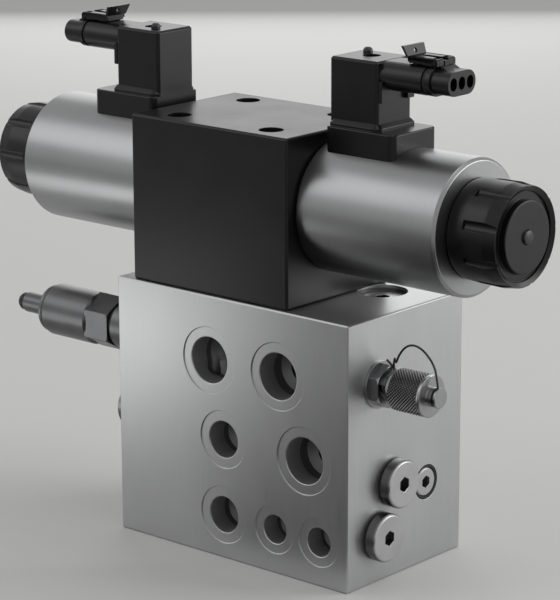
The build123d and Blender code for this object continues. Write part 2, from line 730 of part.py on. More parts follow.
def relief_seat():
    """The seat bush at the cartridge's nose, with its return holes."""
    place = relief_place()
    end = -relief_cavity_depth
    seat = turned(place, LEFT, [
        (end, relief_seat_bore), (end, relief_cavity - 0.5), (end + 0.5, relief_cavity),
        (end + 5, relief_cavity), (end + 5, relief_cavity - 2.2), (-relief_seat_face, relief_cavity - 2.2),
        (-relief_seat_face, relief_poppet_radius + 0.6),
        (end + relief_cone_end, relief_poppet_radius + 0.6), (end + relief_cone_start, relief_seat_bore)])
    for angle in (0, 90):
        turn = Rot(angle, 0, 0)
        seat -= Pos(*place) * turn * rod((-(end + 10.5), 0, 0), Z, -12, 12, 1.6)
    return seat


def relief_poppet():
    """The conical poppet, with the spring's guide behind it."""
    cone = relief_cone_start - relief_cavity_depth + 0.06
    slope = (relief_cone_end - relief_cone_start) / (relief_poppet_radius + 0.6 - relief_seat_bore)
    shoulder = cone + slope * (relief_poppet_radius - relief_seat_bore)
    return turned(relief_place(), LEFT, [
        (cone - 0.6, 0), (cone - 0.6, relief_seat_bore - 0.6), (cone, relief_seat_bore - 0.02),
        (shoulder, relief_poppet_radius), (relief_spring_start - 2.4, relief_poppet_radius),
        (relief_spring_start - 2.4, relief_bore - 0.1), (relief_spring_start, relief_bore - 0.1),
        (relief_spring_start, 3.6), (relief_spring_start + 5, 3.0), (relief_spring_start + 5, 0)])


def relief_spring():
    """The relief spring between the poppet and the adjuster."""
    return spring(relief_place(), LEFT, relief_spring_start, relief_spring_end, relief_spring_radius,
                  relief_spring_wire, 7)


def relief_adjuster():
    """The adjusting screw, from the spring plate inside to the tip with its key socket."""
    place = relief_place()
    screw = turned(place, LEFT, [
        (relief_spring_end, 0), (relief_spring_end, relief_bore - 0.1),
        (relief_spring_end + relief_plate, relief_bore - 0.1),
        (relief_spring_end + relief_plate, relief_stem_radius),
        (relief_stem_end, relief_stem_radius), (relief_stem_end + 0.6, relief_tip_radius),
        (relief_tip_end - 2.0, relief_tip_radius - 0.1), (relief_tip_end - 0.6, relief_tip_radius - 1.0),
        (relief_tip_end, relief_tip_radius - 2.0), (relief_tip_end, 0)])
    return screw - hex_bar(place, LEFT, relief_tip_end - 3, relief_tip_end, 4.0)


def relief_lock_nut():
    """The round lock nut against the end of the cartridge body."""
    start = relief_body_end + 0.05
    return turned(relief_place(), LEFT, [
        (start, relief_stem_radius + relief_stem_fit), (start, relief_nut_radius - 0.5),
        (start + 0.5, relief_nut_radius), (relief_nut_end - 0.6, relief_nut_radius),
        (relief_nut_end, relief_nut_radius - 0.6), (relief_nut_end, relief_stem_radius + relief_stem_fit)])


def gauge_place():
    """The test point's axis on the right face."""
    return (block_right, supply_y, supply_z)


def test_port_body():
    """The test point: stud, flange, hexagon, neck and cap thread."""
    place = gauge_place()
    stud = g_quarter[0] - 0.02
    body = turned(place, X, [
        (-10, gauge_bore), (-10, stud - 1), (-9, stud), (0, stud), (0, gauge_flange_radius),
        (gauge_flange, gauge_flange_radius), (gauge_flange, gauge_neck_radius),
        (gauge_neck_end, gauge_neck_radius), (gauge_neck_end, gauge_thread_radius - 0.8),
        (gauge_neck_end + 0.8, gauge_thread_radius), (gauge_thread_end - 1, gauge_thread_radius),
        (gauge_thread_end, gauge_thread_radius - 1), (gauge_thread_end, gauge_seat_bore),
        (gauge_poppet_end + 1.4, gauge_seat_bore), (gauge_poppet_end + 0.5, gauge_bore),
        (gauge_spring_start, gauge_bore), (gauge_spring_start, gauge_seat_bore),
        (gauge_spring_start - 2, gauge_seat_bore), (gauge_spring_start - 2, gauge_bore)])
    hexagon = hex_bar(place, X, gauge_flange, gauge_hex_end, gauge_hex)
    corners = turned(place, X, [
        (gauge_flange, 0), (gauge_flange, gauge_hex / 2 + 1.2), (gauge_hex_end - 0.8, gauge_hex / 2 + 1.2),
        (gauge_hex_end, gauge_hex / 2 + 0.3), (gauge_hex_end, 0)])
    return body + ((hexagon & corners) - rod(place, X, gauge_flange, gauge_hex_end, gauge_neck_radius))


def test_port_poppet():
    """The test point's check poppet."""
    stem = gauge_seat_bore - 0.05
    radius = gauge_bore - 0.05
    return turned(gauge_place(), X, [
        (gauge_poppet_start, 0), (gauge_poppet_start, radius), (gauge_poppet_end + 0.4, radius),
        (gauge_poppet_end + 1.3, stem), (gauge_thread_end - 0.6, stem), (gauge_thread_end - 0.6, 0)])


def test_port_spring():
    """The check poppet's spring."""
    return spring(gauge_place(), X, gauge_spring_start, gauge_poppet_start, 1.6, 0.6, 6)


def test_cap():
    """The test point's screw cap, with the nub that holds its tether."""
    inner = gauge_thread_radius + cap_fit
    return turned(gauge_place(), X, [
        (cap_start, inner), (cap_start, cap_radius - 0.5), (cap_start + 0.5, cap_radius),
        (cap_end - 1.4, cap_radius), (cap_end - 1.1, cap_radius + 0.1), (cap_end - 0.2, cap_radius + 0.1),
        (cap_end, cap_radius - 0.3), (cap_end, nub_radius), (nub_neck_end, nub_radius),
        (nub_neck_end, nub_groove_radius), (nub_groove_end, nub_groove_radius),
        (nub_groove_end, nub_head_radius), (nub_end - 0.3, nub_head_radius),
        (nub_end, nub_head_radius - 0.3), (nub_end, 0), (cap_end - cap_wall, 0),
        (cap_end - cap_wall, inner)])


def test_cap_tether():
    """The wire between the test point's neck and the groove in its cap."""
    place = gauge_place()
    x, y, z = place
    radius = tether_wire / 2
    neck_ring = gauge_neck_radius + radius + 0.02
    groove_ring = nub_groove_radius + radius + 0.08
    groove = (nub_neck_end + nub_groove_end) / 2
    wire = o_ring(place, X, tether_neck - radius, neck_ring, tether_wire)
    wire += o_ring(place, X, groove - radius, groove_ring, tether_wire)
    first_radius = tether_peak_out - tether_neck
    second_radius = groove - tether_peak_out
    top = (x + tether_peak_out, y, z + tether_peak)
    first_end = Vector(x + tether_neck, y, z + tether_peak - first_radius)
    second_end = Vector(x + groove, y, z + tether_peak - second_radius)
    middle = math.sqrt(0.5)
    first_middle = (top[0] - first_radius * middle, y, top[2] - first_radius * (1 - middle))
    second_middle = (top[0] + second_radius * middle, y, top[2] - second_radius * (1 - middle))
    path = Wire([
        Line((x + tether_neck, y, z + neck_ring), first_end),
        ThreePointArc(first_end, first_middle, top),
        ThreePointArc(top, second_middle, second_end),
        Line(second_end, (x + groove, y, z + groove_ring))])
    return wire + sweep(Plane(origin=path @ 0, z_dir=path % 0) * Circle(radius), path=path)


def collared_places():
    """The three collared plugs: two on the right face, one on the left."""
    return (((block_right, left_gauge_y, left_gauge_z), X),
            ((block_right, right_gauge_y, right_gauge_z), X),
            ((block_left, collared_y, collared_z), LEFT))


def collared_plugs():
    """Collared plugs with key sockets."""
    plugs = []
    stud = g_quarter[0] - 0.02
    for place, toward in collared_places():
        plug = turned(place, toward, [
            (-10, 0), (-10, stud - 1), (-9, stud), (plug_seal_end, stud), (plug_seal_end, plug_collar_radius),
            (plug_collar_end - 0.9, plug_collar_radius), (plug_collar_end, plug_collar_radius - 0.9),
            (plug_collar_end, 0)])
        plugs.append(plug - hex_bar(place, toward, plug_collar_end - plug_key_depth, plug_collar_end, plug_key))
    return plugs


def collared_plug_seals():
    """The sealing rings under the collared plugs."""
    return [ring(place, toward, 0, plug_seal_end, plug_seal_radius, g_quarter[0])
            for place, toward in collared_places()]


def flush_plugs():
    """Plugs level with the block's faces."""
    places = (((block_right, flush_plug_y, flush_plug_z), X),) + gallery_ends()
    plugs = []
    for place, toward in places:
        plug = turned(place, toward, [
            (-flush_plug_length, 0), (-flush_plug_length, g_quarter[0] - 1),
            (-flush_plug_length + 1, g_quarter[0]), (-0.7, g_quarter[0]), (-0.1, g_quarter[0] - 0.6),
            (-0.1, 0)])
        plugs.append(plug - hex_bar(place, toward, -4.0, -0.1, flush_key))
    return plugs


def top_plug():
    """The plug in the recess on the block's top, over the check valve."""
    place = (top_plug_x, top_plug_y, block_height - top_recess_depth)
    radius = g_three_eighths[0]
    plug = turned(place, Z, [(-9, 0), (-9, radius - 1), (-8, radius), (0, radius), (0, 0)])
    return plug - hex_bar(place, Z, -4.5, 0, plug_key)


def check_seat():
    """The seat ring of the tank line's check valve, on the shoulder in its bore."""
    place = (top_plug_x, top_plug_y, check_shoulder)
    return turned(place, Z, [
        (0, check_seat_bore + 0.6), (0, check_seat_radius), (check_seat_height, check_seat_radius),
        (check_seat_height, check_seat_bore + 1.0), (check_seat_height - 1.0, check_seat_bore),
        (0.6, check_seat_bore)])


def check_poppet():
    """The check valve's poppet under its seat, guided between three flats."""
    place = (top_plug_x, top_plug_y, check_shoulder)
    guide = check_bore - 0.08
    poppet = turned(place, DOWN, [
        (-0.6, 0), (-0.6, check_seat_bore - 0.1), (0.05, check_seat_bore + 0.5),
        (check_guide_end, guide), (check_guide_start, guide), (check_guide_start, 3.4),
        (check_guide_start + 3, 3.4), (check_guide_start + 3, 0)])
    for step in range(3):
        turn = Pos(*place) * Rot(0, 0, 120 * step)
        poppet -= turn * slab((5.0, -5, -check_guide_start), (8.0, 5, -check_guide_end + 0.6))
    return poppet


def check_spring():
    """The check valve's spring, from the poppet down to the end of its bore."""
    place = (top_plug_x, top_plug_y, check_shoulder)
    return spring(place, DOWN, check_guide_start, check_shoulder - check_bottom, 4.3, 1.1, 6)


def priority_place():
    """The priority spool's axis, from its end stop outwards to the left."""
    return (priority_end, priority_y, priority_z)


def priority_spool():
    """The spool that lets spare supply through to the excess-flow port when it moves out."""
    land = priority_bore - 0.03
    spool = turned(priority_place(), LEFT, [
        (0.2, 1.0), (0.2, land), (2.0, land), (2.0, 3.2), (priority_land, 3.2), (priority_land, land),
        (priority_land + 12, land), (priority_land + 12, 0), (priority_land + 6, 0),
        (priority_land + 6, 1.0)])
    across = (priority_end - priority_land - 4.5, priority_y, priority_z)
    return spool - rod(across, Z, 0, land, 1.0)


def priority_spring():
    """The priority spool's spring, out to the plug's stud."""
    end = priority_end - block_left - 10
    return spring(priority_place(), LEFT, priority_land + 12, end, 4.2, 1.2, 6)


def shuttle_ball():
    """The ball that picks the higher of the two signal lines."""
    return Pos(shuttle_x, right_gauge_y, right_gauge_z - 0.4) * Sphere(shuttle_ball_radius)


right_hand = {
    "spring_seat": spring_seat(),
    "centering_spring": centering_spring(),
    "armature_tube": armature_tube(),
    "armature": armature(),
    "push_pin": push_pin(),
    "coil_shell": coil_shell(),
    "coil_winding": coil_winding(),
    "coil_nut": coil_nut(),
    "override_pin": override_pin(),
    "override_spring": override_spring(),
    "terminal_housing": terminal_housing(),
    "connector_plug": connector_plug(),
    "plug_latch": plug_latch(),
}
pairs = {
    "coil_nut_seals": [coil_seal()],
    "terminal_screws": [terminal_screw()],
    "contact_pins": contact_pins(),
    "connector_seals": [connector_seal()],
}
pieces = {
    "manifold_block": manifold_block(),
    "valve_body": valve_body(),
    "main_spool": main_spool(),
    "relief_body": relief_body(),
    "relief_seat": relief_seat(),
    "relief_poppet": relief_poppet(),
    "relief_spring": relief_spring(),
    "relief_adjuster": relief_adjuster(),
    "relief_lock_nut": relief_lock_nut(),
    "test_port_body": test_port_body(),
    "test_port_poppet": test_port_poppet(),
    "test_port_spring": test_port_spring(),
    "test_cap": test_cap(),
    "test_cap_tether": test_cap_tether(),
    "top_plug": top_plug(),
    "check_seat": check_seat(),
    "check_poppet": check_poppet(),
    "check_spring": check_spring(),
    "priority_spool": priority_spool(),
    "priority_spring": priority_spring(),
    "shuttle_ball": shuttle_ball(),
}
groups = {
    "mounting_screws": mounting_screws(),
    "interface_orings": interface_orings(),
    "collared_plugs": collared_plugs(),
    "collared_plug_seals": collared_plug_seals(),
    "flush_plugs": flush_plugs(),
}
for name, piece in right_hand.items():
    pieces[name + "_right"] = piece
    pieces[name + "_left"] = piece.rotate(turn_axis, 180)
for name, members in pairs.items():
    groups[name] = members + [member.rotate(turn_axis, 180) for member in members]
for name, members in groups.items():
    pieces[name] = Compound(children=members)

for name, piece in pieces.items():
    export_step(piece, f"parts/{name}.step")
print(len(pieces), "nodes written")
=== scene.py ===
# %% [markdown]
# # A closed-centre hydraulic valve, dressed around its CAD frame
# The real object is a drilled metal block with a black solenoid valve bolted on top, a relief cartridge on
# the left and a capped test point on the right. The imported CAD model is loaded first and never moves. Each
# finished piece is placed in the same frame, in metres, so it sits where its solid is and rides on its body.

import json
import math

import bmesh
import bpy
from mathutils import Matrix, Vector

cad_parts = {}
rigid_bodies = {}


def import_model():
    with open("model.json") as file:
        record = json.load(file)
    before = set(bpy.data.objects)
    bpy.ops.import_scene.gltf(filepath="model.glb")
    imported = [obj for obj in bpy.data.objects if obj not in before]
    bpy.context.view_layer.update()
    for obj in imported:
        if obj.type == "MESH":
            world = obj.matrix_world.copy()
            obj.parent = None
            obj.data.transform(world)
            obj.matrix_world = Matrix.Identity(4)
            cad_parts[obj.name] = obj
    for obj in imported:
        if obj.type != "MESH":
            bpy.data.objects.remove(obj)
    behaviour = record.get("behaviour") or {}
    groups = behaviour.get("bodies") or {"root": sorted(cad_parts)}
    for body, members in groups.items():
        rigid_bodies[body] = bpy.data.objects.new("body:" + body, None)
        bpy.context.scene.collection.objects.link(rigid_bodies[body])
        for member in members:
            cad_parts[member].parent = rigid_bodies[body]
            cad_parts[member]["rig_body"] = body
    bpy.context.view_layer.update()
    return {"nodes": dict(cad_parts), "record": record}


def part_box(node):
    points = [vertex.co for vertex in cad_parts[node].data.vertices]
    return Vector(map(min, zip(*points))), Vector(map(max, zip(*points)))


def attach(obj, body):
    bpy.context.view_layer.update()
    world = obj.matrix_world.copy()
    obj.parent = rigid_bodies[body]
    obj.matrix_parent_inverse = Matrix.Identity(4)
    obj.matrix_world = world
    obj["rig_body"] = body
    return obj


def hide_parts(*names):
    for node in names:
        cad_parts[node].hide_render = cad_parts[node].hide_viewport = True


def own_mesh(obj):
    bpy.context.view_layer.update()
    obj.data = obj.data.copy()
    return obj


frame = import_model()
mm = 0.001

# %% [markdown]
# ## Camera
# A camera in Blender looks along its own -Z with +Y up. The photograph was taken with a long lens from the
# front right and a little above. Its focal length was found in pixels of the 560 x 600 photograph, and with
# a 36 mm sensor across the longer side, the 600 pixels, the lens is 36 / 600 of that.

# %% Place the camera
def link(name, data):
    """A new object at the origin that shows this mesh, lamp, curve or camera."""
    piece = bpy.data.objects.new(name, data)
    bpy.context.scene.collection.objects.link(piece)
    return piece


photo_height = 600
focal_pixels = 2683.8
sensor_mm = 36.0
camera_mm = (759.2, -880.3, 417.3)
camera_azimuth = math.radians(40.959)
camera_elevation = math.radians(14.709)
camera_roll = math.radians(-0.182)

optics = bpy.data.cameras.new("camera")
optics.sensor_width = sensor_mm
optics.lens = sensor_mm * focal_pixels / photo_height
camera = link("camera", optics)
camera.matrix_world = (
    Matrix.Translation(Vector(camera_mm) * mm)
    @ Matrix.Rotation(camera_azimuth, 4, "Z")
    @ Matrix.Rotation(math.pi / 2 - camera_elevation, 4, "X")
    @ Matrix.Rotation(camera_roll, 4, "Z")
)
bpy.context.scene.camera = camera
bpy.context.scene.view_settings.view_transform = "Standard"
print("lens", round(optics.lens, 1), "mm")

# %% [markdown]
# ## Node trees from Python
# Materials and Geometry Nodes are both node trees. Wiring each maths node by hand hides the idea, so a Link
# wraps an output socket and lets it take part in ordinary sums, and a Sheet adds any other node with one
# call. A number that is known in advance is worked out in Python and costs no node.

# %% Sockets that take part in sums
class Link:
    """An output socket; sums with it add their Math nodes to the sheet."""

    def __init__(self, sheet, socket):
        self.sheet, self.socket = sheet, socket

    def __add__(self, other):
        return self.sheet.maths("ADD", self, other)

    def __radd__(self, other):
        return self.sheet.maths("ADD", other, self)

    def __sub__(self, other):
        return self.sheet.maths("SUBTRACT", self, other)

    def __rsub__(self, other):
        return self.sheet.maths("SUBTRACT", other, self)

    def __mul__(self, other):
        return self.sheet.maths("MULTIPLY", self, other)

    def __rmul__(self, other):
        return self.sheet.maths("MULTIPLY", other, self)

    def __truediv__(self, other):
        return self.sheet.maths("DIVIDE", self, other)

    def __rtruediv__(self, other):
        return self.sheet.maths("DIVIDE", other, self)

    def __mod__(self, other):
        return self.sheet.maths("MODULO", self, other)

    def __rmod__(self, other):
        return self.sheet.maths("MODULO", other, self)

    def __lt__(self, other):
        return self.sheet.maths("LESS_THAN", self, other)

    def __gt__(self, other):
        return self.sheet.maths("GREATER_THAN", self, other)


class Sheet:
    """A node tree that grows by calls to node()."""

    def __init__(self, tree):
        self.tree = tree
        tree.nodes.clear()

    def node(self, kind, settings=None, sockets=None, output=0):
        """Adds a node: its settings first, then the values or links of its sockets."""
        made = self.tree.nodes.new(kind)
        for name, value in (settings or {}).items():
            setattr(made, name, value)
        for key, value in (sockets or {}).items():
            if isinstance(value, Link):
                self.tree.links.new(value.socket, made.inputs[key])
            else:
                made.inputs[key].default_value = value
        return Link(self, made.outputs[output]) if made.outputs else None

    def maths(self, operation, *values):
        """A Math node on numbers or links."""
        return self.node("ShaderNodeMath", {"operation": operation}, dict(enumerate(values)))

    def vector(self, operation, *values, output=0):
        """A Vector Math node; its second output is the one for lengths."""
        return self.node("ShaderNodeVectorMath", {"operation": operation}, dict(enumerate(values)), output)


print("sheets and links ready")

# %% [markdown]
# ## Floor
# A pale matte floor keeps the shadow that stands the block on something. A plane is enough, wide enough that
# its far edge stays behind the object from every side, and a hair below the base so the two never flicker.

# %% Lay the floor
def coated(name, describe):
    """A material whose Principled shader takes its sockets from describe."""
    material = bpy.data.materials.new(name)
    material.use_nodes = True
    sheet = Sheet(material.node_tree)
    surface = sheet.node("ShaderNodeBsdfPrincipled", None, describe(sheet))
    sheet.node("ShaderNodeOutputMaterial", None, {"Surface": surface})
    return material


def board(name, corners, finish):
    """A flat four-cornered piece of the stage."""
    mesh = bpy.data.meshes.new(name)
    mesh.from_pydata(corners, [], [(0, 1, 2, 3)])
    mesh.materials.append(finish)
    piece = link(name, mesh)
    return piece


floor_half = 6.0
floor_drop = -0.02 * mm
floor = board("floor",
              [(x * floor_half, y * floor_half, floor_drop) for x, y in ((-1, -1), (1, -1), (1, 1), (-1, 1))],
              coated("floor_paint", lambda sheet: {"Base Color": (0.78, 0.78, 0.77, 1), "Roughness": 0.85}))
print("floor", 2 * floor_half, "m wide")

# %% [markdown]
# ## World
# The world gives a dim even light. What the camera and the metal see of it is paler than what it sheds: the
# Light Path node tells those rays from the rest, so the backdrop can be light without lighting the object.

# %% Two levels of sky
diffuse_level = 0.35
seen_level = 0.60
world = bpy.data.worlds.new("studio")
bpy.context.scene.world = world
world.use_nodes = True
sky = Sheet(world.node_tree)
rays = sky.node("ShaderNodeLightPath").socket.node.outputs
to_camera, to_gloss, to_glass = (
    Link(sky, rays[name]) for name in ("Is Camera Ray", "Is Glossy Ray", "Is Transmission Ray"))
seen = sky.maths("MAXIMUM", to_camera, sky.maths("MAXIMUM", to_gloss, to_glass))
level = seen * (seen_level - diffuse_level) + diffuse_level
background = sky.node("ShaderNodeBackground", None, {"Color": (1, 1, 1, 1), "Strength": level})
sky.node("ShaderNodeOutputWorld", None, {"Surface": background})
print("sky", diffuse_level, "for the object and", seen_level, "for the eye")

# %% [markdown]
# ## Softboxes
# Large area lamps act as studio softboxes: the big one at the front left gives the coils their broad band, the
# ones above and at the back left give the tops their tone, and the one at the back right is what the right
# face mirrors. A small card low beside the block gives the front face its bright left edge. A metal face is
# as bright as what it mirrors, so each lamp is given as a brightness, from which its power follows.

# %% Hang the softboxes
middle = (0, 0, 0.13)
softboxes = {  # place, point aimed at, width and height, and brightness
    "main_box": ((-0.95, -0.80, 0.97), middle, (0.80, 0.80), 1.1),
    "left_card": ((-0.225, -0.175, 0.04), (0.40, 0.55, 0.10), (0.16, 0.09), 1.3),
    "top_box": ((0.35, 0.2, 1.5), middle, (0.8, 0.8), 1.3),
    "right_box": ((1.2, 1.1, 0.55), middle, (1.0, 1.0), 3.5),
    "back_box": ((-0.95, 1.1, 0.55), middle, (1.0, 1.0), 0.95),
}
for name, (place, aim, (wide, high), brightness) in softboxes.items():
    lamp = bpy.data.lights.new(name, "AREA")
    lamp.shape, lamp.size, lamp.size_y = "RECTANGLE", wide, high
    lamp.energy = brightness * math.pi * wide * high
    box = link(name, lamp)
    turn = (Vector(aim) - Vector(place)).to_track_quat("-Z", "Y").to_matrix().to_4x4()
    box.matrix_world = Matrix.Translation(place) @ turn
    box.visible_camera = False

# The card stands low beside the block, so the floor is left out of its light
unlit = bpy.data.collections.new("not_lit_by_left_card")
unlit.objects.link(floor)
unlit.collection_objects[0].light_linking.link_state = "EXCLUDE"
bpy.data.objects["left_card"].light_linking.receiver_collection = unlit
print(len(softboxes), "softboxes")

# %% [markdown]
# ## Dark flag
# In the photograph the front face falls off from bright to dark, because its right half mirrors something
# dark. A photographer would stand a black board there. This one lies just over the floor, and only
# reflections see it.

# %% Lay the flag
flag_height = 1 * mm
flag = board("dark_flag",
             [(x, y, flag_height) for x, y in ((-0.02, -0.06), (0.60, -0.06), (0.05, -0.90), (-0.85, -1.01))],
             coated("flag_cloth", lambda sheet: {"Base Color": (0.02, 0.02, 0.02, 1), "Roughness": 0.9}))
flag.visible_camera = flag.visible_diffuse = flag.visible_shadow = False
print("flag seen by reflections alone")

# %% [markdown]
# ## Patterns for the finishes
# Each finish is a small function that returns the values of a Principled shader's sockets. Metals get their
# look from fine tool marks: noise stretched hundreds of times along one direction becomes brushing or turned
# lines, and the same noise changes the roughness and tilts the surface through a Bump node. All patterns
# read Object coordinates, which stay put because every piece's own origin is the frame's origin.

# %% Helpers for patterns
def position(sheet):
    """The point on the piece, in metres."""
    return sheet.node("ShaderNodeTexCoord", None, None, output=3)


def metres(point_mm):
    """A point in millimetres as a socket takes it."""
    return tuple(value * mm for value in point_mm)


def stretched_noise(sheet, scales, detail=3.0):
    """Noise with its own scale, in turns per metre, along each direction."""
    place = sheet.vector("MULTIPLY", position(sheet), scales)
    return sheet.node("ShaderNodeTexNoise", {"noise_dimensions": "3D"},
                      {"Vector": place, "Scale": 1.0, "Detail": detail, "Roughness": 0.55})


def even_noise(sheet, scale, detail):
    """Noise of one scale along every direction."""
    return stretched_noise(sheet, (scale, scale, scale), detail)


def bumped(sheet, height, depth_mm, strength):
    """The surface normal, tilted by a height pattern of this depth."""
    return sheet.node("ShaderNodeBump", None,
                      {"Height": height, "Distance": depth_mm * mm, "Strength": strength})


def tinted(sheet, amount, low, high):
    """A colour that follows a pattern from one colour to another."""
    return sheet.node("ShaderNodeMix", {"data_type": "RGBA"},
                      {0: amount, 6: (*low, 1), 7: (*high, 1)}, output=2)


def covered(sheet, mask, colour, over):
    """A second colour laid over the first where the mask is 1."""
    return sheet.node("ShaderNodeMix", {"data_type": "RGBA"}, {0: mask, 6: colour, 7: (*over, 1)}, output=2)


def within(sheet, middle_mm, half_mm):
    """1 inside a box given by its middle and half sizes, and 0 outside it."""
    away = sheet.vector("ABSOLUTE", sheet.vector("SUBTRACT", position(sheet), metres(middle_mm)))
    parts = [sheet.node("ShaderNodeSeparateXYZ", None, {0: away}, output=index) for index in range(3)]
    checks = [part < half * mm for part, half in zip(parts, half_mm)]
    return checks[0] * checks[1] * checks[2]


print("patterns ready")

# %% [markdown]
# ## The milled block
# The block is cut from bar and brushed upright, and each port has a spotface turned for its seal. The bores
# are rougher and mirror only each other, and deep inside them the colour is painted dark as shade. Distance
# from each port's centre gives the turned rings, and two boxes just inside the block's faces tell the bores
# from the outside.

# %% Describe the block
port_rings = ((28.0, 90.5, 15.2), (-12.1, 90.5, 15.2), (-4.1, 55.4, 13.2), (42.9, 55.3, 15.2),
              (-4.1, 20.3, 13.2), (25.9, 20.2, 11.1), (51.1, 20.0, 11.1))
front_skin = -39.0
ring_wave = 9000.0  # radians per metre: a ring every 0.7 mm
all_bores = ((0, 0, 60), (66.3, 38.9, 58.7))  # a box's middle and half sizes: 1.2 mm under the faces
# This box marks where the bores' colour is painted dark as shade.
painted_shade_bores = ((0, 0, 60), (66.3, 30.0, 58.7))  # and 10 mm behind the front


def milled_block(sheet):
    """Fine upright brushing, ring marks on the spotface round each port, and painted shade deep in the bores.
    """
    brushing = stretched_noise(sheet, (2600, 2600, 45))
    clouds = stretched_noise(sheet, (26, 26, 14), 2)
    flat = sheet.vector("MULTIPLY", position(sheet), (1, 0, 1))
    depth = sheet.node("ShaderNodeSeparateXYZ", None, {0: position(sheet)}, output=1)
    on_front = depth < front_skin * mm
    drilled = within(sheet, *all_bores)
    rings = 0.0
    spotfaces = 0.0
    for x, z, radius in port_rings:
        away = sheet.vector("DISTANCE", flat, (x * mm, 0, z * mm), output=1)
        here = (away < radius * mm) * on_front
        rings = sheet.maths("SINE", away * ring_wave) * here + rings
        spotfaces = here + spotfaces
    height = brushing * (1.0 - spotfaces) + rings * 0.3
    colour = tinted(sheet, brushing * 0.6 + clouds * 0.4, (0.43, 0.433, 0.438), (0.57, 0.573, 0.578))
    colour = covered(sheet, drilled, colour, (0.48, 0.481, 0.485))
    return {
        # Painted shade: deep in the bores the colour is darkened to a dark grey.
        "Base Color": covered(sheet, within(sheet, *painted_shade_bores), colour, (0.22, 0.221, 0.225)),
        "Metallic": 0.92,
        "Roughness": brushing * 0.14 + clouds * 0.10 + drilled * 0.12 + 0.25,
        "Normal": bumped(sheet, height, 0.012, 0.55),
    }


print("block described")

# %% [markdown]
# ## The valve's black coat
# The valve body is cast, machined and phosphated: nearly black, matte, and a little uneven. The coat is no
# bare metal, so it stays a dielectric with a low reflection, and a fine grain breaks up its highlights.

# %% Describe the coat
def phosphate_black(sheet):
    """The cast valve's matte black coat, with a faint mottle and a fine grain."""
    mottle = even_noise(sheet, 60, 3)
    grain = even_noise(sheet, 2200, 2)
    return {
        "Base Color": tinted(sheet, mottle, (0.004, 0.004, 0.0045), (0.010, 0.010, 0.0105)),
        "Roughness": mottle * 0.10 + grain * 0.06 + 0.24,
        "Specular IOR Level": 0.34,
        "Normal": bumped(sheet, grain, 0.02, 0.2),
    }


print("coat described")

# %% [markdown]
# ## Plated steel
# The coils are satin zinc-nickel over lines that run round them, the plugs bright zinc, and the relief
# cartridge a plate painted much darker as shade. All are turned about the long direction, so their lines are
# noise squeezed along X. A box round each plug's key socket and collar paints its colour darker: painted
# shade.

# %% Describe the plates
# Painted shade: inside these two boxes the plugs' colour is darkened.
painted_shade_collars = ((0, -16.8, 37.8), (73.35, 19.8, 30))  # up to the rims of the collared plugs' faces
painted_shade_key_sockets = ((0, 0, 58.5), (66.0, 38.5, 58.6))  # below the flush plugs' faces
adjusting_tip = ((-160, -18.6, 90), (12.2, 6, 6))
shaded_zinc = (0.20, 0.201, 0.204)


def turned_coil(sheet):
    """Satin plate over fine lines that run round the coil."""
    lines = stretched_noise(sheet, (4200, 26, 26), 2)
    clouds = even_noise(sheet, 30, 3)
    return {
        "Base Color": tinted(sheet, clouds * 0.5 + lines * 0.5, (0.29, 0.292, 0.298), (0.39, 0.392, 0.398)),
        "Metallic": 1.0,
        "Roughness": lines * 0.08 + clouds * 0.10 + 0.24,
        "Normal": bumped(sheet, lines, 0.008, 0.5),
    }


def turned_plate(sheet, low, high, least_roughness):
    """Plate over turned lines: its colour between two greys, and the sockets that all such plates share."""
    lines = stretched_noise(sheet, (3600, 120, 120), 2)
    clouds = even_noise(sheet, 90, 3)
    return tinted(sheet, clouds, low, high), {
        "Metallic": 1.0,
        "Roughness": lines * 0.08 + clouds * 0.12 + least_roughness,
        "Normal": bumped(sheet, lines, 0.006, 0.5),
    }


def bright_zinc(sheet):
    """The plugs' bright zinc, with painted shade in each key socket and round each collar."""
    colour, shared = turned_plate(sheet, (0.48, 0.482, 0.486), (0.62, 0.622, 0.626), 0.20)
    # Painted shade: inside each box the plate's colour is darkened.
    for box in (painted_shade_collars, painted_shade_key_sockets):
        colour = covered(sheet, within(sheet, *box), colour, shaded_zinc)
    return {"Base Color": colour, **shared}


def relief_plate_painted_dark(sheet):
    """The relief cartridge's plate, painted much darker as shade, with a blackened adjusting tip."""
    # Painted shade: the relief's grey is kept far darker than the plugs' plate.
    colour, shared = turned_plate(sheet, (0.10, 0.101, 0.104), (0.17, 0.171, 0.174), 0.24)
    return {"Base Color": covered(sheet, within(sheet, *adjusting_tip), colour, (0.04, 0.04, 0.042)), **shared}


print("plates described")

# %% [markdown]
# ## The knurled cap
# The crests of the knurl are smoother, and the roots between its diamonds are painted dark as shade. Distance
# from the cap's axis tells crest from root, so one map range on it darkens the roots and smooths the crests.

# %% Describe the cap's plate
test_point = (67.5, -18.6, 90.0)
knurl_box = ((test_point[0] + 19, test_point[1], test_point[2]), (7.7, 12, 12))
root_radius, crest_radius = 8.85, 9.2


def knurled_steel(sheet):
    """The cap's plate: bright on the crests, with painted shade between the diamonds of the knurl."""
    away = sheet.vector("SUBTRACT", position(sheet), metres(test_point))
    radius = sheet.vector("LENGTH", sheet.vector("MULTIPLY", away, (0, 1, 1)), output=1)
    grip = within(sheet, *knurl_box)
    crest = sheet.node("ShaderNodeMapRange", None,
                       {"Value": radius, "From Min": root_radius * mm, "From Max": crest_radius * mm})
    # Painted shade: the knurl's roots are darkened, its crests keep the plate's grey.
    shade = crest * grip + (1.0 - grip) * 0.75
    return {
        "Base Color": tinted(sheet, shade, (0.06, 0.06, 0.062), (0.46, 0.462, 0.466)),
        "Metallic": 1.0,
        "Roughness": 0.45 - shade * 0.2,
    }


print("cap described")

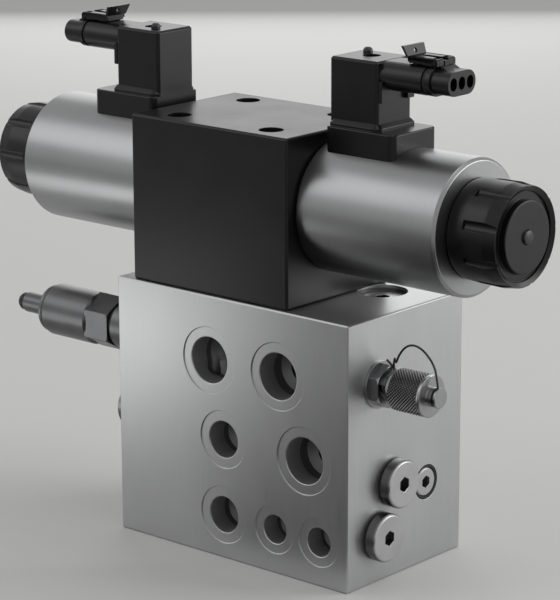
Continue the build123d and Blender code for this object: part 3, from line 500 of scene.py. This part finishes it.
# %% [markdown]
# ## Steel, copper and brass
# Ground spool and pins, blackened screws, spring wire, wound copper and brass contacts are small or hidden.
# Each still has its own colour and its own kind of mark, so that it holds up when a cover is taken away.

# %% Describe the other metals
def ground_steel(sheet):
    """Hard steel with fine grinding lines round the spool axis."""
    lines = stretched_noise(sheet, (5200, 60, 60), 2)
    return {
        "Base Color": tinted(sheet, lines, (0.46, 0.46, 0.48), (0.55, 0.55, 0.57)),
        "Metallic": 1.0,
        "Roughness": lines * 0.1 + 0.2,
        "Normal": bumped(sheet, lines, 0.004, 0.4),
    }


def oxide_steel(sheet):
    """Blackened steel of the screws, the override buttons and the tether."""
    stain = even_noise(sheet, 400, 3)
    return {
        "Base Color": tinted(sheet, stain, (0.035, 0.035, 0.038), (0.085, 0.085, 0.09)),
        "Metallic": 0.9,
        "Roughness": stain * 0.2 + 0.28,
        "Normal": bumped(sheet, stain, 0.01, 0.3),
    }


def drawn_wire(sheet):
    """Spring wire."""
    scale = even_noise(sheet, 700, 2)
    return {
        "Base Color": tinted(sheet, scale, (0.40, 0.40, 0.42), (0.52, 0.52, 0.54)),
        "Metallic": 1.0,
        "Roughness": scale * 0.15 + 0.22,
    }


def enamelled_copper(sheet):
    """The coil's winding."""
    turns = stretched_noise(sheet, (1400, 20, 20), 1)
    return {
        "Base Color": tinted(sheet, turns, (0.55, 0.26, 0.12), (0.72, 0.40, 0.20)),
        "Metallic": 1.0,
        "Roughness": turns * 0.15 + 0.25,
        "Normal": bumped(sheet, turns, 0.05, 0.5),
    }


def plain_brass(sheet):
    """The contact pins."""
    tarnish = even_noise(sheet, 500, 3)
    return {
        "Base Color": tinted(sheet, tarnish, (0.62, 0.50, 0.28), (0.80, 0.68, 0.40)),
        "Metallic": 1.0,
        "Roughness": tarnish * 0.2 + 0.2,
    }


print("other metals described")

# %% [markdown]
# ## Plastic and rubber
# Housings, nuts and plugs are moulded in black nylon from a spark-eroded mould, whose fine texture softens
# their highlights. The seals are nitrile rubber, which scatters what little light it returns.

# %% Describe plastic and rubber, and make all the finishes
def moulded_black(sheet):
    """Glass-filled nylon: near black, with the fine texture of its mould."""
    grain = even_noise(sheet, 3200, 2)
    clouds = even_noise(sheet, 70, 2)
    return {
        "Base Color": tinted(sheet, clouds, (0.004, 0.004, 0.0045), (0.008, 0.008, 0.0085)),
        "Specular IOR Level": 0.34,
        "Roughness": grain * 0.08 + clouds * 0.08 + 0.22,
        "Normal": bumped(sheet, grain, 0.015, 0.3),
    }


def nitrile(sheet):
    """Seal rubber."""
    bloom = even_noise(sheet, 300, 3)
    return {
        "Base Color": tinted(sheet, bloom, (0.008, 0.008, 0.008), (0.02, 0.02, 0.02)),
        "Roughness": bloom * 0.15 + 0.6,
    }


finishes = {name: coated(name, describe) for name, describe in {
    "block_metal": milled_block,
    "valve_black": phosphate_black,
    "coil_steel": turned_coil,
    "zinc_steel": bright_zinc,
    "hard_steel": ground_steel,
    "black_steel": oxide_steel,
    "spring_steel": drawn_wire,
    "relief_plate": relief_plate_painted_dark,
    "cap_plate": knurled_steel,
    "black_plastic": moulded_black,
    "black_rubber": nitrile,
    "copper": enamelled_copper,
    "contact_brass": plain_brass,
}.items()}
print(len(finishes), "finishes")

# %% [markdown]
# ## Every CAD node gets its finish
# The record says which slot each node takes. Nodes that stay in view keep their own mesh and only change
# their material; the inner pieces, which show when a piece is hidden or a joint is studied, do the same.

# %% Finish the CAD nodes
slot_of_node = {row["node"]: row["material_slot"] for row in frame["record"]["subparts"]}
for name, node in frame["nodes"].items():
    node.data.materials.clear()
    node.data.materials.append(finishes[slot_of_node[name]])
print(len(slot_of_node), "nodes finished")

# %% [markdown]
# ## Edges that catch the light
# No machined or moulded edge is perfectly sharp, and a bright thin line along it is what the eye reads as
# metal. A CAD mesh is loose triangles, so a copy is merged and its flat facets joined first. Edges that bend
# enough, and aren't slivers between tiny facets, get a weight. A Bevel modifier rounds the weighted edges, and
# weighted normals keep the flats flat.

# %% Copy and round a CAD piece
merge_reach = 0.002 * mm
flat_angle = math.radians(0.4)
bent_angle = math.radians(32)
least_width, least_length = 0.6, 2.5  # of a facet and an edge that may be rounded, as shares of the rounding


def as_mesh(name, skin):
    """A mesh of a finished skin, which is then freed."""
    mesh = bpy.data.meshes.new(name)
    skin.to_mesh(mesh)
    skin.free()
    return mesh


def whole_skin(node):
    """A CAD node's mesh as one merged skin with its flat facets joined."""
    source = frame["nodes"][node].data
    skin = bmesh.new()
    corners = [skin.verts.new(vertex.co) for vertex in source.vertices]
    for facet in source.polygons:
        skin.faces.new([corners[index] for index in facet.vertices])
    bmesh.ops.remove_doubles(skin, verts=skin.verts, dist=merge_reach)
    bmesh.ops.dissolve_limit(skin, angle_limit=flat_angle, verts=skin.verts, edges=skin.edges)
    return as_mesh(node + "_skin", skin)


def smoothed(mesh, sharp_degrees=30.0):
    """Marks edges over an angle as sharp and shades the rest smooth."""
    skin = bmesh.new()
    skin.from_mesh(mesh)
    for face in skin.faces:
        face.smooth = True
    for edge in skin.edges:
        edge.smooth = not edge.is_manifold or edge.calc_face_angle(0) < math.radians(sharp_degrees)
    skin.to_mesh(mesh)
    skin.free()
    return mesh


def joined(name, meshes):
    """One mesh of several."""
    skin = bmesh.new()
    for mesh in meshes:
        skin.from_mesh(mesh)
    return smoothed(as_mesh(name, skin))


own_finish = {  # pieces whose plate differs from their slot's
    "relief_body": "relief_plate",
    "relief_adjuster": "relief_plate",
    "relief_lock_nut": "relief_plate",
    "test_port_body": "coil_steel",
    "test_cap": "cap_plate",
    "test_cap_tether": "black_steel",
}


def seat(piece, body, slot, *nodes):
    """Gives a piece its finish, sets it on its body and hides the CAD nodes it stands for."""
    if not piece.data.materials:
        piece.data.materials.append(finishes[own_finish.get(nodes[0] if nodes else "", slot)])
    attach(piece, body)
    if nodes:
        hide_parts(*nodes)
    return piece


def rounded(piece, edge_mm):
    """Rounds the piece's sharp edges, apart from the slivers between tiny facets."""
    width = edge_mm * mm
    skin = bmesh.new()
    skin.from_mesh(piece.data)
    weight = skin.edges.layers.float.new("bevel_weight_edge")
    for edge in skin.edges:
        wide = all(2 * face.calc_area() / face.calc_perimeter() > least_width * width
                   for face in edge.link_faces)
        bent = edge.is_manifold and edge.calc_face_angle(0) > bent_angle
        edge[weight] = 1.0 if bent and wide and edge.calc_length() > least_length * width else 0.0
    skin.to_mesh(piece.data)
    skin.free()
    bevel = piece.modifiers.new("rounded_edges", "BEVEL")
    bevel.width = width
    bevel.segments = 2
    bevel.limit_method = "WEIGHT"
    bevel.use_clamp_overlap = False
    bevel.harden_normals = True
    weigh = piece.modifiers.new("flat_faces", "WEIGHTED_NORMAL")
    weigh.keep_sharp = True
    weigh.weight = 100
    return piece


def body_of_node(node):
    """The name of the CAD body that a node belongs to."""
    return frame["nodes"][node]["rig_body"]


def dress(node, edge_mm):
    """A rounded copy of a CAD node that stands for it."""
    piece = link(node + "_finished", smoothed(whole_skin(node)))
    return seat(rounded(piece, edge_mm), body_of_node(node), slot_of_node[node], node)


print("ready to copy and round")

# %% [markdown]
# ## Housings, shells and plugs
# The edges of moulded pieces are a little softer than those of plated ones, and the coils' rims softer still.
# Each kind of piece has one radius, in millimetres, for its left and right copies alike.

# %% Block, valve, coils and terminals
edges_mm = {
    "manifold_block": 0.2,
    "valve_body": 0.25,
    "coil_shell": 0.3,
    "terminal_housing": 0.16,
    "connector_plug": 0.15,
    "connector_seals": 0.15,
    "terminal_screws": 0.2,
    "relief_body": 0.2,
    "relief_adjuster": 0.12,
    "relief_lock_nut": 0.2,
    "test_port_body": 0.12,
    "collared_plugs": 0.2,
    "collared_plug_seals": 0.15,
    "flush_plugs": 0.12,
    "top_plug": 0.12,
}
for node in sorted(frame["nodes"]):
    family = node.removesuffix("_left").removesuffix("_right")
    if family in edges_mm:
        dress(node, edges_mm[family])
print("rounded copies of", len(edges_mm), "kinds of piece")

# %% [markdown]
# ## Turned pieces
# A turned piece is a profile spun round its axis. Writing the ring of points for each profile point keeps
# the skin closed and evenly divided, which Blender's own Spin leaves to be merged afterwards. A point on the
# axis becomes one vertex.

# %% Turn a profile
axis_names = {"x": Vector((1, 0, 0)), "-x": Vector((-1, 0, 0)), "y": Vector((0, 1, 0)), "z": Vector((0, 0, 1))}


def turned(name, centre_mm, toward, profile_mm, steps=96):
    """A closed skin from (distance, radius) points in millimetres, spun about an axis."""
    axis = axis_names[toward]
    side = Vector((0, 0, 1)) if toward != "z" else Vector((1, 0, 0))
    across = axis.cross(side)
    skin = bmesh.new()
    rings = []
    for distance, radius in profile_mm:
        middle = (Vector(centre_mm) + axis * distance) * mm
        count = steps if radius else 1
        rings.append([skin.verts.new(middle + (side * math.cos(turn) + across * math.sin(turn)) * radius * mm)
                      for turn in (2 * math.pi * step / steps for step in range(count))])
    for first, second in zip(rings, rings[1:] + rings[:1]):
        for step in range(steps if len(first) + len(second) > 2 else 0):
            corners = [first[step % len(first)], first[(step + 1) % len(first)],
                       second[(step + 1) % len(second)], second[step % len(second)]]
            skin.faces.new(list(dict.fromkeys(corners)))
    bmesh.ops.recalc_face_normals(skin, faces=skin.faces)
    return smoothed(as_mesh(name, skin))


print("ready to turn about", ", ".join(axis_names))

# %% [markdown]
# ## Growing what repeats
# Geometry Nodes suit what repeats by a rule: the screws on their rectangle, the grip flutes round a nut, the
# diamonds of a knurl. Each tree has named inputs, ends in Realize Instances and Set Material, and its result
# is turned into a plain mesh at once, because the export keeps no instances.

# %% Make and run a Geometry Nodes tree
def new_tree(name, **inputs):
    """A Geometry Nodes tree with named inputs; returns its sheet and a link for each input."""
    tree = bpy.data.node_groups.new(name, "GeometryNodeTree")
    kinds = {float: "NodeSocketFloat", int: "NodeSocketInt", tuple: "NodeSocketVector"}
    tree.interface.new_socket("Geometry", in_out="INPUT", socket_type="NodeSocketGeometry")
    for label, value in inputs.items():
        socket = tree.interface.new_socket(label, in_out="INPUT", socket_type=kinds[type(value)])
        socket.default_value = value
    tree.interface.new_socket("Finish", in_out="INPUT", socket_type="NodeSocketMaterial")
    tree.interface.new_socket("Geometry", in_out="OUTPUT", socket_type="NodeSocketGeometry")
    sheet = Sheet(tree)
    entry = sheet.node("NodeGroupInput").socket.node
    return sheet, {socket.name: Link(sheet, socket) for socket in entry.outputs if socket.name}


def end_tree(sheet, geometry, finish):
    """Ends a tree in real meshes with their finish."""
    real = sheet.node("GeometryNodeRealizeInstances", None, {0: geometry})
    done = sheet.node("GeometryNodeSetMaterial", None, {"Geometry": real, "Material": finish})
    sheet.node("NodeGroupOutput", None, {0: done})
    return sheet.tree


def grown(name, tree, start_mesh, finish, **inputs):
    """Runs a tree on a start mesh and returns the result as a plain mesh object."""
    piece = link(name, start_mesh)
    maker = piece.modifiers.new("grow", "NODES")
    maker.node_group = tree
    values = dict(inputs, Finish=finish)
    for item in tree.interface.items_tree:
        if item.in_out == "INPUT" and item.name in values:
            maker[item.identifier] = values[item.name]
    piece.update_tag()
    bpy.context.view_layer.update()
    graph = bpy.context.evaluated_depsgraph_get()
    mesh = bpy.data.meshes.new_from_object(piece.evaluated_get(graph))
    piece.modifiers.clear()
    piece.data = smoothed(mesh)
    return piece


print("ready to grow")

# %% [markdown]
# ## Mounting screws
# Four socket-head screws stand at the bottom of the wells, 54 x 46 mm apart. One screw is turned, its hex
# socket is cut by a six-sided cylinder inside the tree, and the corners of a 2 x 2 grid carry the copies.

# %% Draw the screw
valve_centre = (-13.4, -3.8, 120.0)
head_start, head_height, head_radius, shank_radius = 28.0, 6.0, 5.0, 3.0
screw_profile = [(-12, 0), (-12, shank_radius - 0.6), (-11.4, shank_radius), (head_start, shank_radius),
                 (head_start, head_radius - 0.2), (head_start + 0.2, head_radius),
                 (head_start + head_height - 0.6, head_radius), (head_start + head_height, head_radius - 0.6),
                 (head_start + head_height, 0)]
print("screw drawn with", len(screw_profile), "points of distance and radius")

# %% Grow the mounting screws
sheet, given = new_tree("screw_rectangle", SpacingX=0.054, SpacingY=0.046, KeyRadius=0.0029, KeyDepth=0.003,
                        HeadTop=0.034, Place=(0.0, 0.0, 0.0))
key = sheet.node("GeometryNodeMeshCylinder", None,
                 {"Vertices": 6, "Radius": given["KeyRadius"], "Depth": given["KeyDepth"] * 2.0})
key_place = sheet.node("ShaderNodeCombineXYZ", None, {2: given["HeadTop"]})
key = sheet.node("GeometryNodeTransform", None, {"Geometry": key, "Translation": key_place})
screw = sheet.node("GeometryNodeMeshBoolean", {"operation": "DIFFERENCE", "solver": "EXACT"},
                   {"Mesh 1": given["Geometry"], "Mesh 2": key})
grid = sheet.node("GeometryNodeMeshGrid", None,
                  {"Size X": given["SpacingX"], "Size Y": given["SpacingY"], "Vertices X": 2, "Vertices Y": 2})
grid = sheet.node("GeometryNodeTransform", None, {"Geometry": grid, "Translation": given["Place"]})
copies = sheet.node("GeometryNodeInstanceOnPoints", None, {"Points": grid, "Instance": screw})
screw_tree = end_tree(sheet, copies, given["Finish"])

screws = grown("mounting_screws_finished", screw_tree, turned("screw", (0, 0, 0), "z", screw_profile, 48),
               finishes["black_steel"], Place=metres(valve_centre))
seat(screws, "block", "black_steel", "mounting_screws")
print("screws:", len(screws.data.polygons), "faces")

# %% [markdown]
# ## Coil nuts
# Each coil is held by a moulded nut. Its grip is nine shallow flutes that start a little way from the foot and
# run out on the cone at the front, round a ring groove and a raised disc. The body is turned with rings close
# together, so the cuts leave only small faces, and the tree cuts one round bar, repeated about the axis.

# %% Draw the nut
nut_rings = 9
first_flute = math.radians(73.0)
nut_barrel = [(8.0 + step * 1.2, 22.1 + step * 0.025) for step in range(nut_rings)]
nut_cone = [(18.9 + step * 0.74, 22.3 - step * 0.107) for step in range(nut_rings)]
nut_groove = [(24.9, 21.15), (24.75, 20.8), (23.9, 19.3), (23.7, 19.15), (22.8, 19.05), (22.8, 15.9)]
nut_disc = [(25.4, 15.6), (25.7, 15.45), (25.8, 15.2), (25.8, 14.8), (25.8, 3.9), (25.8, 3.35), (20.4, 3.35)]
nut_inside = [(20.4, 12.08), (3.0, 12.08), (3.0, 15.2)]
nut_outline = [(0.1, 15.2), (0.1, 20.9), (0.5, 21.4), (1.4, 21.65), (4.7, 21.9), *nut_barrel, (18.7, 22.3),
               *nut_cone, *nut_groove, *nut_disc, *nut_inside]
print("nut drawn with", len(nut_outline), "points of distance and radius")

# %% Plant the tree that cuts the flutes
sheet, given = new_tree("grip_flutes", Count=9, First=0.0, Start=0.0084, Length=0.03, Floor=0.0211,
                        Radius=0.0028)
cutter = sheet.node("GeometryNodeMeshCylinder", None,
                    {"Vertices": 48, "Radius": given["Radius"], "Depth": given["Length"]})
lift = sheet.node("ShaderNodeCombineXYZ", None,
                  {0: given["Start"] + given["Length"] * 0.5, 2: given["Floor"] + given["Radius"]})
cutter = sheet.node("GeometryNodeTransform", None,
                    {"Geometry": cutter, "Translation": lift, "Rotation": (0, math.pi / 2, 0)})
places = sheet.node("GeometryNodePoints", None, {"Count": given["Count"], "Position": (0, 0, 0)})
index = sheet.node("GeometryNodeInputIndex")
turn = sheet.node("ShaderNodeCombineXYZ", None, {0: given["First"] + index * (2 * math.pi) / given["Count"]})
cutters = sheet.node("GeometryNodeInstanceOnPoints", None,
                     {"Points": places, "Instance": cutter, "Rotation": turn})
cutters = sheet.node("GeometryNodeRealizeInstances", None, {0: cutters})
body = sheet.node("GeometryNodeMeshBoolean", {"operation": "DIFFERENCE", "solver": "EXACT"},
                  {"Mesh 1": given["Geometry"], "Mesh 2": cutters})
nut_tree = end_tree(sheet, body, given["Finish"])
print("flutes from", len(given), "inputs")

# %% Grow the coil nuts
valve_end, coil_end, spool_height = 45.6, 120.6, 162.0
sides = (("right", 1), ("left", -1))


def on_side(mesh, sign):
    """Moves a mesh made about the right coil's end to its place on the right or, half turned, on the left."""
    half_turn = Matrix.Rotation(0 if sign > 0 else math.pi, 4, "Z")
    end = Vector((valve_centre[0] + sign * coil_end, valve_centre[1], spool_height)) * mm
    mesh.transform(Matrix.Translation(end) @ half_turn)
    return mesh


for side, sign in sides:
    core = turned("nut_core", (0, 0, 0), "x", nut_outline, 144)
    nut = grown("coil_nut_" + side + "_finished", nut_tree, core, finishes["black_plastic"], First=first_flute)
    nut.data = smoothed(nut.data, 24)
    on_side(nut.data, sign)
    seat(rounded(nut, 0.18), "coil_nut_" + side, "black_plastic", "coil_nut_" + side)
    print(nut.name, len(nut.data.polygons), "faces")

# %% [markdown]
# ## Override buttons and latches
# The button of each manual override stands a little way out of the nut's disc. Each latch gets the two deep
# cheeks that close it at the sides; its flag, tooth and knuckles are the CAD piece's own.

# %% Turn the buttons and add the cheeks
button_outline = [(-6.8, 0), (-6.8, 2.1), (-6.4, 2.5), (18.8, 2.5), (18.8, 3.8), (20.3, 3.8), (20.3, 3.15),
                  (26.4, 3.15), (26.75, 2.95), (26.9, 2.6), (26.9, 0)]
cheek_outline = [(42.4, 229.5), (53.6, 228.6), (57.9, 228.6), (57.9, 231.0), (57.1, 231.8), (42.4, 231.8)]
block_outline = [(53.9, 228.6), (57.9, 228.6), (57.9, 231.0), (57.1, 231.8), (53.9, 231.8)]
flag_half, block_half, cheek_half = 1.65, 4.65, 6.3  # half widths across the latch
latch_fillings = ((cheek_outline, block_half, cheek_half), (block_outline, flag_half, block_half))


def slab(name, outline, near, far):
    """A closed skin between two copies of an outline of (out, up) points, at two places across the coil."""
    skin = bmesh.new()
    ends = [[skin.verts.new(Vector((out - coil_end + valve_end, across, up - spool_height)) * mm)
             for out, up in outline] for across in (near, far)]
    for step in range(len(outline)):
        after = (step + 1) % len(outline)
        skin.faces.new((ends[0][step], ends[0][after], ends[1][after], ends[1][step]))
    for end in ends:
        skin.faces.new(end)
    bmesh.ops.recalc_face_normals(skin, faces=skin.faces)
    return as_mesh(name, skin)


for side, sign in sides:
    button = link("override_pin_" + side + "_finished",
                  on_side(turned("button", (0, 0, 0), "x", button_outline, 48), sign))
    seat(button, "override_" + side, "black_steel", "override_pin_" + side)
    cheeks = [on_side(slab("cheek", outline, across * near, across * far), sign)
              for across in (-1, 1)
              for outline, near, far in latch_fillings]
    node = "plug_latch_" + side
    latch = link(node + "_finished", joined(node, [whole_skin(node), *cheeks]))
    seat(rounded(latch, 0.15), body_of_node(node), slot_of_node[node], node)
print("buttons and latches on both sides")

# %% [markdown]
# ## Springs
# Each spring stands between a fixed end and a piece that slides, so it has to shorten as that piece comes
# nearer. A smoothed copy of the CAD spring stands for each one, and its length and its joint's travel are
# printed.

# %% Copy the springs
springs = {  # the joint that each spring serves, the direction of its fixed end, and the travel in mm
    "centering_spring_right": ("spool_slide", (1, 0, 0), 5.5),
    "centering_spring_left": ("spool_slide", (-1, 0, 0), 5.5),
    "override_spring_right": ("override_push_right", (-1, 0, 0), 5.3),
    "override_spring_left": ("override_push_left", (1, 0, 0), 5.3),
    "relief_spring": ("relief_poppet_slide", (-1, 0, 0), 1.5),
    "check_spring": ("check_poppet_slide", (0, 0, -1), 4.0),
    "priority_spring": ("priority_spool_slide", (-1, 0, 0), 4.0),
    "test_port_spring": ("test_port_poppet_slide", (-1, 0, 0), 1.5),
}
for node, (joint, toward, travel) in springs.items():
    low, high = (Vector(corner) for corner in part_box(node))
    length = abs((high - low).dot(Vector(toward)))
    coil = link(node + "_finished", smoothed(whole_skin(node)))
    seat(coil, body_of_node(node), slot_of_node[node], node)
    1 - travel * mm / length
    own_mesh(coil)
    print(node, "is", round(length / mm, 1), "mm long and shortens by", travel)

# %% [markdown]
# ## Test point cap
# The cap's grip is a diamond knurl. A roller presses such a pattern as rows of small pyramids, each row half
# a step round from the last. One four-sided cone with its corners along and across the axis is that pyramid.

# %% Draw the cap
cap_profile = [(9.8, 7.98), (9.8, 8.6), (10.3, 9.1), (10.9, 9.1), (11.2, 8.8), (26.4, 8.8), (26.7, 9.1),
               (27.1, 9.3), (28.2, 9.3), (28.5, 8.9), (28.5, 4.5), (28.7, 4.3), (31.0, 4.3), (31.0, 3.2),
               (32.2, 3.2), (32.2, 4.3), (32.4, 4.5), (33.0, 4.5), (33.3, 4.2), (33.3, 0), (24.5, 0),
               (24.5, 7.98)]
print("cap drawn with", len(cap_profile), "points of distance and radius")

# %% Grow the knurled cap
pyramid_tip, pyramid_share, row_shift = 0.0001, 0.98, 0.5
sheet, given = new_tree("diamond_knurl", Columns=38, Rows=20, Radius=0.0086, Start=0.0119, Pitch=0.00075,
                        Height=0.00075, Centre=(0.0, 0.0, 0.0))
pyramid = sheet.node("GeometryNodeMeshCone", None,
                     {"Vertices": 4, "Radius Top": pyramid_tip,
                      "Radius Bottom": given["Pitch"] * pyramid_share, "Depth": given["Height"]})
squeeze = sheet.node("ShaderNodeCombineXYZ", None,
                     {0: 1.0, 1: given["Radius"] * math.pi / given["Columns"] / given["Pitch"], 2: 1.0})
pyramid = sheet.node("GeometryNodeTransform", None, {"Geometry": pyramid, "Scale": squeeze})
index = sheet.node("GeometryNodeInputIndex")
row = sheet.maths("FLOOR", index / given["Columns"])
column = index - row * given["Columns"] + (row % 2.0) * row_shift
angle = column * (2 * math.pi) / given["Columns"]
spot = sheet.node("ShaderNodeCombineXYZ", None,
                  {0: given["Start"] + row * given["Pitch"],
                   1: sheet.maths("SINE", angle) * given["Radius"] * -1.0,
                   2: sheet.maths("COSINE", angle) * given["Radius"]})
spot = sheet.vector("ADD", spot, given["Centre"])
points = sheet.node("GeometryNodePoints", None, {"Count": given["Columns"] * given["Rows"], "Position": spot})
lean = sheet.node("ShaderNodeCombineXYZ", None, {0: angle})
diamonds = sheet.node("GeometryNodeInstanceOnPoints", None,
                      {"Points": points, "Instance": pyramid, "Rotation": lean})
both = sheet.node("GeometryNodeJoinGeometry", None, {0: given["Geometry"]})
sheet.tree.links.new(diamonds.socket, both.socket.node.inputs[0])
knurl_tree = end_tree(sheet, both, given["Finish"])

cap = grown("test_cap_finished", knurl_tree, turned("cap", test_point, "x", cap_profile, 88),
            finishes["cap_plate"], Centre=metres(test_point))
seat(cap, "test_cap", "zinc_steel", "test_cap")
print("cap:", len(cap.data.polygons), "faces")

# %% [markdown]
# ## Seals of the flush plugs
# A rubber ring lies in the recess round each flush plug, and also stands in for the shade there as a dark
# line. It is a small round profile spun at each place, and the four rings are one mesh because they never move
# apart.

# %% Spin the flush plugs' seals
seal_depth, seal_radius, cord_radius, cord_steps = 0.72, 7.27, 0.6, 12
seal_ring = [(-seal_depth + cord_radius * math.sin(turn), seal_radius + cord_radius * math.cos(turn))
             for turn in (2 * math.pi * step / cord_steps for step in range(cord_steps))]
flush_places = (((67.5, 14.9, 37.3), "x"), ((-67.5, 9.0, 78.0), "-x"), ((-67.5, -5.4, 20.3), "-x"),
                ((-50.0, 40.0, 81.0), "y"))
# The black rings are real seals and also stand in for the shade in the recesses.
seals = link("flush_plug_seals_finished",
             joined("flush_plug_seals_and_shade", [turned("seal", place, toward, seal_ring, 48)
                                         for place, toward in flush_places]))
seat(seals, "block", "black_rubber")
print("seals:", len(seals.data.polygons), "faces")

# %% [markdown]
# ## Tether
# A spring wire keeps the cap with its test point. It grips the neck, kicks up in a V whose short end stands
# free, arches over the cap and closes round the groove in the nub. A smooth curve led by a few points, with
# a round bevel, is the wire; each end is a ring of its own.

# %% Bend the tether
wire_radius = 0.48
neck_ring, groove_ring = (8.2, 6.15), (31.6, 3.7)  # distance from the block's face, and radius
ring_steps = 24
arch = [(7.6, -17.9, 95.9), (6.9, -17.0, 98.2), (6.6, -17.2, 99.6), (8.0, -18.3, 102.8), (8.3, -18.5, 102.9),
        (9.0, -18.6, 101.2), (9.4, -18.6, 101.9), (10.6, -18.6, 104.9), (13.8, -18.6, 109.0),
        (18.0, -18.6, 110.9), (22.9, -18.6, 109.8), (27.2, -18.6, 106.4), (29.9, -18.6, 102.8),
        (30.9, -18.6, 98.6), (31.6, -18.6, 94.9), (31.6, -18.6, 93.7)]
tail = [(8.0, -17.4, 95.9), (6.8, -16.9, 97.6), (6.0, -17.2, 99.2), (3.3, -17.8, 101.4)]


def wire(name, strands):
    """A mesh of round wires, each a list of points in millimetres and whether it closes."""
    curve = bpy.data.curves.new(name, "CURVE")
    curve.dimensions = "3D"
    curve.bevel_depth = wire_radius * mm
    curve.bevel_resolution = 3
    curve.use_fill_caps = True
    for points, closes in strands:
        spline = curve.splines.new("NURBS")
        spline.points.add(len(points) - 1)
        for knot, point in zip(spline.points, points):
            knot.co = (*(Vector(point) * mm), 1)
        spline.order_u = 3
        spline.use_cyclic_u = closes
        spline.use_endpoint_u = not closes
        spline.resolution_u = 8
    holder = link(name, curve)
    bpy.context.view_layer.update()
    mesh = bpy.data.meshes.new_from_object(holder.evaluated_get(bpy.context.evaluated_depsgraph_get()))
    bpy.data.objects.remove(holder)
    return mesh


def ring(out, radius):
    """Points of a ring round the test point's axis."""
    x, y, z = test_point
    return [(x + out, y + radius * math.sin(turn), z + radius * math.cos(turn))
            for turn in (2 * math.pi * step / ring_steps for step in range(ring_steps))]


strands = [(ring(*neck_ring), True), (ring(*groove_ring), True),
           *(([(test_point[0] + out, y, z) for out, y, z in strand], False) for strand in (arch, tail))]
tether = link("test_cap_tether_finished", smoothed(wire("tether_wire", strands), 60))
seat(tether, "block", "spring_steel", "test_cap_tether")
print("tether:", len(tether.data.polygons), "faces")
